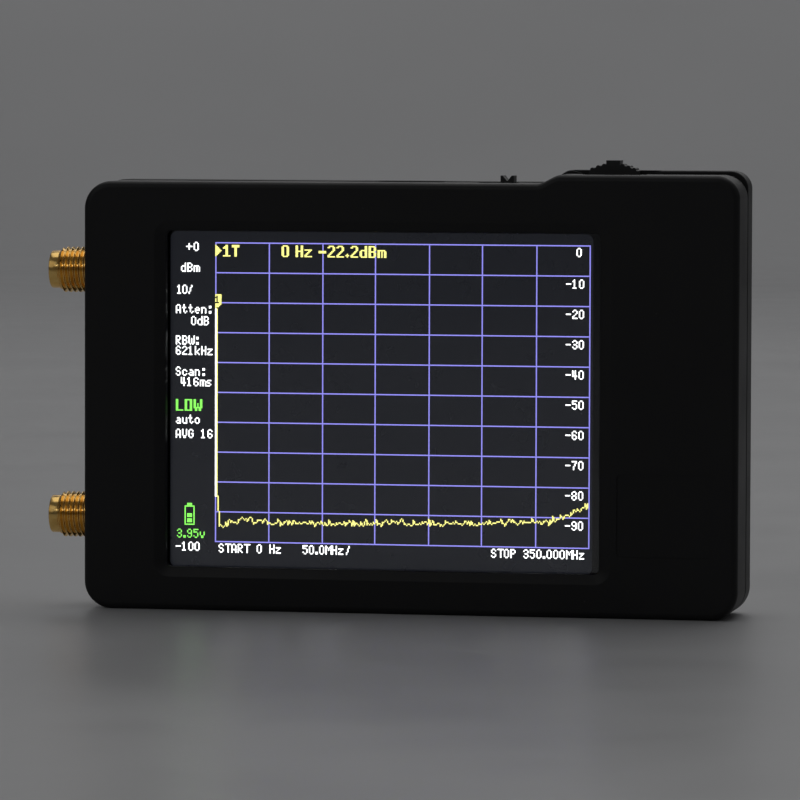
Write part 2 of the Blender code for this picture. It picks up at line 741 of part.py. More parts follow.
def make_chips():
    start = BOARD_Y[1] + CHIP_GAP
    for name, (centre, size, height, edge) in CHIPS.items():
        low = (centre[0] - size[0] / 2, start, centre[1] - size[1] / 2)
        high = (centre[0] + size[0] / 2, start + height, centre[1] + size[1] / 2)
        chip = box(name, low, high)
        bevel(chip, edge, 1)
        metal = name in ("reference_oscillator", "band_filter")
        finish(chip, CAN_STEEL if metal else CHIP_EPOXY)
    led = box("charge_led", (37.0, start, 52.4), (38.6, start + 0.7, 53.2))
    bevel(led, 0.08, 1)
    finish(led, LED_RESIN)


def shield_outline(grow):
    size = (SHIELD_SIZE[0] + 2 * grow, SHIELD_SIZE[1] + 2 * grow)
    return rounded_rectangle(SHIELD_CENTRE, size, 0.8, 2)


def make_shield():
    """A soldered frame around the radio parts and the lid that clips over it."""
    start = BOARD_Y[1] + CHIP_GAP
    top = start + SHIELD_LID_REACH[1]
    frame = prism("shield_frame", shield_outline(0), "Y", (start, start + SHIELD_FRAME_HEIGHT))
    inside = prism("cut_shield_frame", shield_outline(-SHIELD_SHEET), "Y", (start - 1, top))
    boolean(frame, as_cutter(inside))
    finish(frame, CAN_STEEL)
    outer = shield_outline(SHIELD_LID_GAP + SHIELD_SHEET)
    lid = prism("shield_lid", outer, "Y", (start + SHIELD_LID_REACH[0], top))
    bevel(lid, 0.2, 1)
    room = shield_outline(SHIELD_LID_GAP)
    boolean(lid, as_cutter(prism("cut_shield_lid", room, "Y", (start - 1, top - SHIELD_SHEET))))
    finish(lid, CAN_STEEL)


def make_battery():
    low = BATTERY_LOW
    high = BATTERY_HIGH
    pouch = box("battery_pouch", low, high)
    bevel(pouch, BATTERY_EDGE, 3)
    seal_low = (low[0] + 1.2, BATTERY_SEAL_Y[0], high[2] - 1.5)
    seal_high = (high[0] - 1.2, BATTERY_SEAL_Y[1], high[2] + BATTERY_SEAL_RISE)
    boolean(pouch, as_cutter(box("add_battery_seal", seal_low, seal_high)), "UNION")
    finish(pouch, CELL_FOIL)
    tape_low = (low[0] + 3, TAPE_Y[0], low[2] + 3)
    tape_high = (high[0] - 3, TAPE_Y[1], high[2] - 4)
    finish(box("battery_tape", tape_low, tape_high), FOAM)
    plug = box("battery_plug", PLUG_LOW, PLUG_HIGH)
    bevel(plug, 0.25, 1)
    finish(plug, CONNECTOR_PLASTIC)
    make_battery_lead("battery_lead_red", LEAD_SPACING / 2, RED_WIRE)
    make_battery_lead("battery_lead_black", -LEAD_SPACING / 2, BLACK_WIRE)


def make_battery_lead(name, offset, spec):
    """A lead that leaves the pouch's seal, bulges back and ends in front of the plug."""
    start_x = LEAD_START[0] + offset
    end_x = (PLUG_LOW[0] + PLUG_HIGH[0]) / 2 + offset
    points = []
    for step in range(9):
        share = step / 8
        sway = share * share * (3 - 2 * share)
        x = start_x + (end_x - start_x) * sway
        y = LEAD_START[1] + LEAD_BULGE * math.sin(PI * share)
        points.append((x, y, LEAD_START[2] + (LEAD_END_Z - LEAD_START[2]) * share))
    wire(name, points, LEAD_RADIUS, spec)


# ---------------------------------------------------------------- coaxial jacks

def make_jacks():
    turn = Matrix.Rotation(-PI / 2, 3, "Y")
    end = FLANGE_X[1] - 0.2
    face = -JACK_REACH + COUNTERBORE_DEPTH
    bore_floor = face + CONTACT_BORE_DEPTH
    dielectric = (
        (DIELECTRIC_RADIUS, -face),
        (DIELECTRIC_RADIUS, -end),
        (CONTACT_RADIUS + 0.1, -end),
        (CONTACT_RADIUS + 0.1, -face),
    )
    contact = (
        (0.0, -bore_floor),
        (CONTACT_BORE_RADIUS, -bore_floor),
        (CONTACT_BORE_RADIUS, -face),
        (CONTACT_RADIUS, -face - 0.05),
        (CONTACT_RADIUS, -end),
        (0.0, -end),
    )
    for side, height in JACK_HEIGHTS.items():
        place = at(0, JACK_Y, height)
        make_jack_body(side, height, turn)
        item = turned(f"{side}_jack_dielectric", dielectric, place, turn, JACK_SIDES, closed=True)
        finish(item, PTFE)
        item = turned(f"{side}_jack_contact", contact, place, turn, 16, closed=False)
        finish(item, GOLD)


def jack_profile():
    """Outside of the jack from its tip to inside the flange: plain pilot, then a grooved thread."""
    tip = JACK_REACH
    thread_end = -THREAD_START_X + THREAD_TURNS * THREAD_PITCH
    root = THREAD_RADIUS - THREAD_DEPTH
    profile = [(0.0, tip), (PILOT_RADIUS - 0.15, tip)]
    profile += [(PILOT_RADIUS, tip - 0.15), (PILOT_RADIUS, thread_end + 0.1)]
    for turn_number in range(THREAD_TURNS):
        top = thread_end - turn_number * THREAD_PITCH
        profile.append((root, top))
        profile.append((THREAD_RADIUS, top - THREAD_PITCH * 0.42))
        profile.append((THREAD_RADIUS, top - THREAD_PITCH * 0.58))
    flange_inside = -(FLANGE_X[0] + 0.5)
    thread_start = thread_end - THREAD_TURNS * THREAD_PITCH
    profile += [(root, thread_start), (root, flange_inside), (0.0, flange_inside)]
    return profile


def make_jack_body(side, height, turn):
    place = at(0, JACK_Y, height)
    body = turned(f"{side}_jack_body", jack_profile(), place, turn, JACK_SIDES, closed=False)
    half = FLANGE_SIZE / 2
    low = (FLANGE_X[0], JACK_Y - half, height - half)
    high = (FLANGE_X[1], JACK_Y + half, height + half)
    flange = box(f"add_{side}_flange", low, high)
    bevel(flange, 0.25, 1)
    boolean(body, as_cutter(flange), "UNION")
    for number, (y_low, y_high) in enumerate(LEG_Y):
        for sign in (-1, 1):
            middle = height + sign * (half - 0.55)
            low = (FLANGE_X[1] - 0.4, y_low, middle - LEG_WIDTH / 2)
            high = (LEG_END_X, y_high, middle + LEG_WIDTH / 2)
            leg = box(f"add_{side}_leg_{number}_{sign + 1}", low, high)
            boolean(body, as_cutter(leg), "UNION")
    tip = -JACK_REACH
    axis = (JACK_Y, height)
    mouth_span = (tip - 1, tip + COUNTERBORE_DEPTH)
    mouth = cylinder(f"cut_{side}_mouth", "X", axis, COUNTERBORE_RADIUS, mouth_span, JACK_SIDES)
    boolean(body, as_cutter(mouth))
    bore_span = (tip, FLANGE_X[1] + 1)
    bore = cylinder(f"cut_{side}_bore", "X", axis, DIELECTRIC_BORE_RADIUS, bore_span, JACK_SIDES)
    boolean(body, as_cutter(bore))
    return finish(body, GOLD)


# ---------------------------------------------------------------- USB-C port

def make_usb():
    outline = rounded_rectangle(USB_CENTRE, USB_SIZE, USB_SIZE[1] / 2 - 0.01)
    shell = prism("usb_shell", outline, "Z", USB_Z)
    inner_size = (USB_SIZE[0] - 2 * USB_SHEET, USB_SIZE[1] - 2 * USB_SHEET)
    inner = rounded_rectangle(USB_CENTRE, inner_size, inner_size[1] / 2 - 0.01)
    boolean(shell, as_cutter(prism("cut_usb_shell", inner, "Z", (USB_Z[0] - 1, USB_Z[1] + 1))))
    finish(shell, CAN_STEEL)
    core_size = (inner_size[0] - 0.3, inner_size[1] - 0.3)
    core = rounded_rectangle(USB_CENTRE, core_size, core_size[1] / 2 - 0.01)
    tongue = prism("usb_tongue", core, "Z", (USB_Z[0] + 0.1, USB_Z[0] + 2.0))
    x, y = USB_CENTRE
    blade = box("add_usb_blade", (x - 3.35, y - 0.35, USB_Z[0] + 1.5), (x + 3.35, y + 0.35, USB_Z[1] - 0.7))
    boolean(tongue, as_cutter(blade), "UNION")
    finish(tongue, BLACK_NYLON)


# ---------------------------------------------------------------- slide switch

def box_beside(name, x, corners):
    """A box whose corners' x values are measured from the line x."""
    low, high = corners
    return box(name, (x + low[0], low[1], low[2]), (x + high[0], high[1], high[2]))


def make_switch():
    middle = KNOB_REST_X - SWITCH_TRAVEL / 2
    housing = box_beside("switch_housing", middle, SWITCH_HOUSING)
    bevel(housing, 0.2, 1)
    boolean(housing, as_cutter(box_beside("cut_switch_room", middle, SWITCH_ROOM)))
    boolean(housing, as_cutter(box_beside("cut_switch_top", middle, SWITCH_TOP_SLOT)))
    finish(housing, CAN_STEEL)
    slider = box_beside("switch_slider", KNOB_REST_X, SLIDER)
    post = box_beside("add_switch_post", KNOB_REST_X, SLIDER_POST)
    boolean(slider, as_cutter(post), "UNION")
    finish(slider, BLACK_NYLON)
    half = KNOB_SIZE[0] / 2
    low, high = KNOB_Z
    groove_half, groove_depth = KNOB_GROOVE
    right = [
        (half, low),
        (half, high - KNOB_CHAMFER),
        (half - KNOB_CHAMFER, high),
        (groove_half, high),
    ]
    left = [(-x, z) for x, z in reversed(right)]
    outline = [(KNOB_REST_X + x, z) for x, z in right + [(0.0, high - groove_depth)] + left]
    reach = KNOB_SIZE[1] / 2
    knob = prism("switch_knob", outline, "Y", (KNOB_Y - reach, KNOB_Y + reach))
    finish(knob, KEY_PLASTIC)


# ---------------------------------------------------------------- jog key

def jog_point(degrees, radius):
    """A point at `degrees` from straight up about the jog pivot, positive to the right."""
    angle = math.radians(degrees)
    return (JOG_PIVOT_X + radius * math.sin(angle), JOG_PIVOT_Z + radius * math.cos(angle))


def jog_outline():
    """A thin arch with upright ends, and three ribs either side of a flat raised key."""
    half = JOG_KEY_WIDTH / 2
    key_foot = JOG_PIVOT_Z + math.sqrt(JOG_RADIUS * JOG_RADIUS - half * half)
    right = [(JOG_PIVOT_X + half, JOG_KEY_TOP), (JOG_PIVOT_X + half, key_foot)]
    for angle in RIB_ANGLES:
        right.append(jog_point(angle - RIB_FOOT_ANGLE, JOG_RADIUS))
        right.append(jog_point(angle - RIB_TOP_ANGLE, JOG_RADIUS + RIB_RISE))
        right.append(jog_point(angle + RIB_TOP_ANGLE, JOG_RADIUS + RIB_RISE))
        right.append(jog_point(angle + RIB_FOOT_ANGLE, JOG_RADIUS))
    right.append(jog_point(math.degrees(math.asin(JOG_HALF_WIDTH / JOG_RADIUS)), JOG_RADIUS))
    left = [(2 * JOG_PIVOT_X - x, z) for x, z in reversed(right)]
    end_angle = math.degrees(math.asin(JOG_HALF_WIDTH / JOG_INNER_RADIUS))
    inner = [jog_point(end_angle * (1 - step / 4), JOG_INNER_RADIUS) for step in range(9)]
    return left + right + inner


def make_jog():
    x, z = JOG_PIVOT_X, JOG_PIVOT_Z
    housing = box_beside("jog_housing", x, JOG_HOUSING)
    bevel(housing, 0.2, 1)
    boolean(housing, as_cutter(box_beside("cut_jog_room", x, JOG_ROOM)))
    boolean(housing, as_cutter(box_beside("cut_jog_top", x, JOG_TOP_SLOT)))
    finish(housing, CAN_STEEL)

    plunger = box_beside("jog_plunger", x, JOG_PLUNGER)
    pin = cylinder("add_jog_pin", "Y", (x, z), PIN_RADIUS, (LEVER_Y[0], LEVER_Y[1] + 0.7), 16)
    boolean(plunger, as_cutter(pin), "UNION")
    finish(plunger, BLACK_NYLON)

    front, back = LEVER_Y
    lever = cylinder("jog_lever", "Y", (x, z), LEVER_RADIUS, LEVER_Y, 20)
    stem_low = (x - 0.5, front + 0.05, z + LEVER_STEM_Z[0])
    stem_high = (x + 0.5, back - 0.05, z + LEVER_STEM_Z[1])
    boolean(lever, as_cutter(box("add_jog_stem", stem_low, stem_high)), "UNION")
    bore = cylinder("cut_lever_bore", "Y", (x, z), LEVER_BORE_RADIUS, (front - 1, back + 1), 16)
    boolean(lever, as_cutter(bore))
    finish(lever, BLACK_NYLON)

    cap = prism("jog_cap", jog_outline(), "Y", JOG_Y)
    pocket_low = (x - 0.8, front - 0.25, z + CAP_POCKET_Z[0])
    pocket_high = (x + 0.8, back + 0.25, z + CAP_POCKET_Z[1])
    boolean(cap, as_cutter(box("cut_cap_pocket", pocket_low, pocket_high)))
    finish(cap, KEY_PLASTIC)


# ---------------------------------------------------------------- everything

def main():
    openings = opening_cutters()
    make_front_case(openings)
    make_rear_case(openings)
    make_screws()
    make_display()
    make_flexes()
    make_board()
    make_chips()
    make_shield()
    make_battery()
    make_jacks()
    make_usb()
    make_switch()
    make_jog()


main()
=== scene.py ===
import json
import math
import random

import bmesh
import bpy
from mathutils import Matrix, Quaternion, Vector


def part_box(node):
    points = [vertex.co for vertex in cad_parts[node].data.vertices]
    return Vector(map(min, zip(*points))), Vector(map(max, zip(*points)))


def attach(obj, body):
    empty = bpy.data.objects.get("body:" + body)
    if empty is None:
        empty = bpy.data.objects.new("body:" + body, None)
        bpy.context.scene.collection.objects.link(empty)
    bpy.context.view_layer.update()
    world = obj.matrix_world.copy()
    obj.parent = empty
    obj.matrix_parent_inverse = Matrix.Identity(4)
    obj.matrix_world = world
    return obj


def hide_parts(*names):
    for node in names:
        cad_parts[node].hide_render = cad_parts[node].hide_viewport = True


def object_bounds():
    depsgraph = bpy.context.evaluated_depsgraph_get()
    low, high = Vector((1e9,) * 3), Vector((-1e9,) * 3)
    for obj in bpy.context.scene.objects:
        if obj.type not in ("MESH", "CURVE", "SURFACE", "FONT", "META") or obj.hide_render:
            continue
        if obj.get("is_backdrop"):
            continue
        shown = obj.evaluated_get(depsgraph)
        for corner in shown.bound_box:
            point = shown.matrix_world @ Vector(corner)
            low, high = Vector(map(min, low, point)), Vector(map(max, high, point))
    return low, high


# Looks of a handheld radio-frequency analyser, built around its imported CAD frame.
# Lengths are millimetres measured from the case's left front bottom corner: x to the right,
# y into the case (away from the display) and z up.  at() turns them into the frame's metres.

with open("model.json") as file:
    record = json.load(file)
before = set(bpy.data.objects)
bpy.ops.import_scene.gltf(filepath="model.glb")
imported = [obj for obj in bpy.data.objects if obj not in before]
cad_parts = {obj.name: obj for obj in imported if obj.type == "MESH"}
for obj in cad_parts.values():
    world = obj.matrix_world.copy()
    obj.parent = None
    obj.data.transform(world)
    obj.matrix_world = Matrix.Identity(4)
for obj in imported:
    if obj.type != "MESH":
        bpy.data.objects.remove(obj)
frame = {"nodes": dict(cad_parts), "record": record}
cad_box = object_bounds()

MM = 0.001
PI = math.pi
WELD = 1e-7
WAVE_BAND = 0.314  # a wave texture's band spacing at a scale of 1
CORNER = Vector(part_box("front_case")[0])


def at(x, y, z):
    return CORNER + Vector((x, y, z)) * MM


def extent(node):
    """A CAD node's range along x, y and z, in case millimetres."""
    low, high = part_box(node)
    return [((a - c) / MM, (b - c) / MM) for a, b, c in zip(low, high, CORNER)]


def middle(span):
    return (span[0] + span[1]) / 2


# Case, from its two shells
FRONT = extent("front_case")
REAR = extent("rear_case")
CASE_WIDTH = FRONT[0][1]
CASE_DEPTH = REAR[1][1]
PARTING_Y = FRONT[1][1]
CASE_HEIGHT = 59.3
FRONT_SHOULDER_LIFT = 0.08
REAR_SHOULDER_LIFT = 0.15
FRONT_SHOULDER_RISE = FRONT[2][1] - CASE_HEIGHT + FRONT_SHOULDER_LIFT
REAR_SHOULDER_RISE = REAR[2][1] - CASE_HEIGHT + REAR_SHOULDER_LIFT
FRONT_DROP = 0.12
SHELL_GAP = 0.3
WALL = 1.6
CORNER_RADIUS = 3.8
FRONT_SHOULDER_RADIUS = 3.2
REAR_SHOULDER_RADIUS = 2.5
SHOULDER_X = (63.4, 66.8)
FRONT_EDGE_RADIUS = 0.9
REAR_EDGE_RADIUS = 2.3
PARTING_EDGE_RADIUS = 0.25
LIP_HEIGHT = 0.9
LIP_THICKNESS = 0.6
LIP_GAP = 0.2
LIP_ROOT = 0.5
CLEAR = 1.0  # how far a cutting tool runs past the face that it cuts

# Window and plate recess in the front face
WINDOW_SIZE = (60.6, 46.5)
WINDOW_CENTRE = (41.9, 29.2)
WINDOW_RADIUS = 0.8
CHAMFER = (1.6, 1.35)
CHAMFER_DEPTH = 0.5
RECESS_CENTRE = (81.2, 14.1)
RECESS_SIZE = (13.0, 11.4)
RECESS_RADIUS = 0.6
RECESS_DEPTH = 0.15

# Display: DOT is the dots' pitch, and dots are counted right and down from the grid's top left corner
CELL = extent("lcd_cell")
PANEL = extent("touch_panel")
DOT = 0.1798
GRID_MARGIN = (10.92, 2.84)
GRID_LEFT = CELL[0][0] + GRID_MARGIN[0]
GRID_TOP = CELL[2][1] - GRID_MARGIN[1]
GRID_COLUMNS = 7
GRID_ROWS = 10
GRID_WIDTH = 290
GRID_ROW = 23
DOT_LAYER = (0.055, 0.07)  # where the lit dots start and end behind the touch panel
FIELD_GAPS = (0.075, 0.005)  # the unlit field's distance from the touch panel and from the cell
DOT_Y = (PANEL[1][1] + DOT_LAYER[0], PANEL[1][1] + DOT_LAYER[1])
FIELD_Y = (PANEL[1][1] + FIELD_GAPS[0], CELL[1][0] - FIELD_GAPS[1])
FIELD_X = (11.74, 70.91)
FIELD_Z = (5.65, 52.3)
FIELD_RADIUS = 1.0

# Jacks
JACKS = {"upper": extent("upper_jack_dielectric"), "lower": extent("lower_jack_dielectric")}
JACK_TIP = extent("upper_jack_body")[0][0]
JACK_END = extent("upper_jack_body")[0][1]
JACK_HOLE_RADIUS = 3.45
JACK_HOLE_RIM = 0.18
THREAD_RADIUS = 3.175
THREAD_PITCH = 0.7056
THREAD_DEPTH = 0.42
PILOT_LENGTH = 1.36
PILOT_RADIUS = 2.62
PILOT_EDGE = 0.16
THREAD_X = (JACK_TIP + PILOT_LENGTH, 0.4)
FLANGE_SIZE = 6.35
FLANGE_X = (1.75, 3.3)
COUNTERBORE_RADIUS = 2.3
COUNTERBORE_DEPTH = 1.9
BORE_RADIUS = 2.15
LEG_Y = (4.1, 7.9)
LEG_HALF = 0.5
LEG_INSET = 0.55
LEG_BOARD_GAP = 0.2
CONTACT_RADIUS = 0.635
SOCKET_RADIUS = 0.46
SOCKET_DEPTH = 2.2

# Screws
SCREW_INSET = 4.6
BOSS_RADIUS = 2.1
BOSS_SINK = 0.4
BOSS_GAP = 0.3
REAR_BOSS_RADIUS = BOSS_RADIUS + 0.3
REAR_BOSS_SINK = 0.6
BOSS_BORE_RADIUS = 1.2
BOSS_BORE_Y = 3.4
HEAD_SEAT_RADIUS = 1.85
HEAD_SEAT_RIM = 0.15
HEAD_SEAT_Y = 13.6
HEAD_GAP = 0.3
SCREW_ROOT = 0.62
SCREW_CREST = 0.85
SCREW_PITCH = 0.6
SCREW_POINT = 0.9
CROSS_ARM = (0.92, 0.17)
CROSS_DEPTH = 0.75

# Keys and port on the top edge
KNOB = extent("switch_knob")
SWITCH_TRAVEL = 3.0
SLOT_MARGIN = 0.35
JOG = extent("jog_cap")
JOG_PIVOT = (middle(JOG[0]), 54.95)
JOG_RADIUS = 6.85
JOG_INNER_RADIUS = 4.5
JOG_HALF_WIDTH = JOG[0][1] - JOG_PIVOT[0]
JOG_KEY_HALF_WIDTH = 0.95
JOG_RIB_ANGLES = (10.7, 17.9, 25.3)
JOG_RIB_HALF_ANGLE = 2.4
JOG_RIB_RISE = 0.2
JOG_OPENING_HALF_WIDTH = 4.45
JOG_OPENING_Y = (5.9, 9.6)
SCOOP_RADIUS = 22.0
SCOOP_DEPTH = 0.4
SCOOP_Y = 3.2
USB = extent("usb_shell")
USB_CENTRE = (middle(USB[0]), middle(USB[1]))
USB_SIZE = (USB[0][1] - USB[0][0], USB[1][1] - USB[1][0])
USB_SHEET = 0.3
USB_CORE_GAP = 0.15
USB_OPENING = (9.7, 4.0)
USB_RIM = 0.25
BLADE_HALF = (3.35, 0.35)
PIN_PITCH = 0.5
PIN_HALF = 0.13
PIN_RISE = 0.03


# -------- outlines

def arc(centre, radius, start, end, steps):
    """Points on an arc from angle start to angle end, in degrees."""
    points = []
    for step in range(steps + 1):
        angle = math.radians(start + (end - start) * step / steps)
        points.append((centre[0] + radius * math.cos(angle), centre[1] + radius * math.sin(angle)))
    return points


def rounded_rectangle(centre, size, radius, steps=10):
    half_x = size[0] / 2 - radius
    half_y = size[1] / 2 - radius
    points = []
    for start, side_x, side_y in ((-90, 1, -1), (0, 1, 1), (90, -1, 1), (180, -1, -1)):
        corner = (centre[0] + side_x * half_x, centre[1] + side_y * half_y)
        points += arc(corner, radius, start, start + 90, steps)
    return points


def stadium(size, grow, z):
    """A level ring about the USB-C port: a rectangle with round ends, `grow` larger than size all round."""
    size = (size[0] + 2 * grow, size[1] + 2 * grow)
    return [(x, y, z) for x, y in rounded_rectangle(USB_CENTRE, size, size[1] / 2 - 0.01, 16)]


def case_outline(inset, rise, shoulder_radius, drop=0.0):
    """The case seen from the front, counterclockwise, `inset` inside its outer face.

    The shoulder stands `rise` above the case's height, and the rest of the top `drop` below it.
    """
    radius = CORNER_RADIUS - inset
    right = CASE_WIDTH - CORNER_RADIUS
    level = CASE_HEIGHT - drop
    high = level - CORNER_RADIUS
    steps = 20
    points = arc((CORNER_RADIUS, CORNER_RADIUS), radius, 180, 270, steps)
    points += arc((right, CORNER_RADIUS), radius, 270, 360, steps)
    shoulder = (CASE_WIDTH - shoulder_radius, CASE_HEIGHT + rise - shoulder_radius)
    points += arc(shoulder, shoulder_radius - inset, 0, 90, steps)
    for step in range(steps + 1):
        share = 1 - step / steps
        height = (rise + drop) * share * share * (3 - 2 * share)
        x = SHOULDER_X[0] + (SHOULDER_X[1] - SHOULDER_X[0]) * share
        points.append((x, level + height - inset))
    points += arc((CORNER_RADIUS, high), radius, 90, 180, steps)
    return points


def front_outline(inset):
    return case_outline(inset, FRONT_SHOULDER_RISE, FRONT_SHOULDER_RADIUS, FRONT_DROP)


def rear_outline(inset):
    return case_outline(inset, REAR_SHOULDER_RISE, REAR_SHOULDER_RADIUS)


# -------- meshes

def linked(work, name):
    """A linked object made of a bmesh as it is."""
    mesh = bpy.data.meshes.new(name)
    work.to_mesh(mesh)
    work.free()
    item = bpy.data.objects.new(name, mesh)
    bpy.context.scene.collection.objects.link(item)
    return item


def object_from(work, name):
    """A linked object made of a bmesh, welded and with its faces pointing out."""
    bmesh.ops.remove_doubles(work, verts=work.verts, dist=WELD)
    bmesh.ops.recalc_face_normals(work, faces=work.faces)
    return linked(work, name)


def bridge(work, near, far):
    """Faces between two rings that hold the same number of vertices."""
    for i in range(len(near)):
        j = (i + 1) % len(near)
        work.faces.new((near[i], near[j], far[j], far[i]))


def loft(name, sections, joined=False):
    """A solid through rings with equal point counts: capped at both ends, or joined into a loop."""
    work = bmesh.new()
    rings = [[work.verts.new(at(*point)) for point in ring] for ring in sections]
    pairs = list(zip(rings, rings[1:]))
    if joined:
        pairs.append((rings[-1], rings[0]))
    else:
        work.faces.new(rings[0])
        work.faces.new(rings[-1])
    for near, far in pairs:
        bridge(work, near, far)
    return object_from(work, name)


def slab(name, outline, stations):
    """A solid between x-z outlines: outline(inset) gives one, and stations holds (y, inset) pairs."""
    return loft(name, [[(x, y, z) for x, z in outline(inset)] for y, inset in stations])


def extruded(name, outline, span):
    """An outline of x-z points made solid along y."""
    return loft(name, [[(x, y, z) for x, z in outline] for y in span])


def rounded_edge(face_y, into, radius, steps):
    """(y, inset) stations of a quarter-round edge, from the face at face_y inwards."""
    stations = []
    for step in range(steps + 1):
        angle = PI / 2 * step / steps
        y = face_y + into * radius * (1 - math.cos(angle))
        stations.append((y, radius * (1 - math.sin(angle))))
    return stations


def add_block(work, low, high):
    size = [(b - a) * MM for a, b in zip(low, high)]
    centre = at(*[(a + b) / 2 for a, b in zip(low, high)])
    place = Matrix.Translation(centre) @ Matrix.Diagonal((*size, 1.0))
    bmesh.ops.create_cube(work, size=1.0, matrix=place)


def box(name, low, high):
    work = bmesh.new()
    add_block(work, low, high)
    return object_from(work, name)


def boxes(name, spans):
    """Many separate small blocks in one object; each span is (low corner, high corner)."""
    work = bmesh.new()
    for low, high in spans:
        add_block(work, low, high)
    return linked(work, name)


def ring(centre, along, sides, shape):
    """One ring of points about an axis; shape(turn) gives (radius, place on the axis), turn from 0 to 1."""
    points = []
    for step in range(sides):
        radius, place = shape(step / sides)
        a = radius * math.cos(2 * PI * step / sides)
        b = radius * math.sin(2 * PI * step / sides)
        if along == "x":
            points.append((place, centre[0] + a, centre[1] + b))
        else:
            points.append((centre[0] + a, place, centre[1] + b))
    return points


def rings(centre, along, sides, profile):
    """Rings for a turned profile of (radius, place) points."""
    return [ring(centre, along, sides, lambda turn, at_once=pair: at_once) for pair in profile]


# One turn of a thread: (share of the pitch, height from 0 at the root to 1 at the crest)
THREAD_FORM = (
    (0.0, 0.93), (0.03, 1.0), (0.14, 1.0), (0.17, 0.93),
    (0.49, 0.05), (0.52, 0.0), (0.65, 0.0), (0.68, 0.05),
)


def thread_rings(centre, along, sides, span, root, crest, pitch):
    """Rings that follow a right-hand thread's helix exactly, faded out at both ends of its span."""
    turns = math.ceil((span[1] - span[0]) / pitch) + 1

    def shape_of(phase, share):
        def shape(turn):
            place = span[0] + pitch * (phase - 1 + turn)
            inside = min(max(place, span[0]), span[1])
            room = min(inside - span[0], span[1] - inside)
            return root + min((crest - root) * share, room), inside
        return shape

    made = [ring(centre, along, sides, lambda turn: (root, span[0]))]
    for turn_number in range(turns):
        for phase, share in THREAD_FORM:
            made.append(ring(centre, along, sides, shape_of(turn_number + phase, share)))
    made.append(ring(centre, along, sides, lambda turn: (root, span[1])))
    return made


def cylinder(name, along, centre, radius, span, sides=48):
    return loft(name, rings(centre, along, sides, [(radius, span[0]), (radius, span[1])]))


def carve(item, tools, operation="DIFFERENCE"):
    """Cuts each tool out of the item, or joins it on, and removes the tools."""
    for tool in tools:
        modifier = item.modifiers.new(operation.lower(), "BOOLEAN")
        modifier.operation = operation
        modifier.solver = "EXACT"
        modifier.object = tool
    settle(item)
    for tool in tools:
        bpy.data.objects.remove(tool, do_unlink=True)


def settle(item):
    """Replaces the item's mesh with what its modifiers make of it."""
    bpy.context.view_layer.update()
    evaluated = item.evaluated_get(bpy.context.evaluated_depsgraph_get())
    mesh = bpy.data.meshes.new_from_object(evaluated)
    item.modifiers.clear()
    item.data = mesh
    mesh.name = item.name


def soften(item, width, segments=3, angle=30.0):
    """Rounds the item's edges that turn by more than `angle` degrees."""
    modifier = item.modifiers.new("soften", "BEVEL")
    modifier.width = width * MM
    modifier.segments = segments
    modifier.limit_method = "ANGLE"
    modifier.angle_limit = math.radians(angle)
    settle(item)


def dress(item, slot, body="case", stands_for=(), smooth_angle=32.0):
    """Shades the item, gives it its slot's material and rides it on its body."""
    item.data.materials.clear()
    item.data.materials.append(MATERIALS[slot])
    item.data.shade_smooth()
    item.data.set_sharp_from_angle(angle=math.radians(smooth_angle))
    weighted = item.modifiers.new("flat_faces_first", "WEIGHTED_NORMAL")
    weighted.keep_sharp = True
    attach(item, body)
    if stands_for:
        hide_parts(*stands_for)


# -------- materials

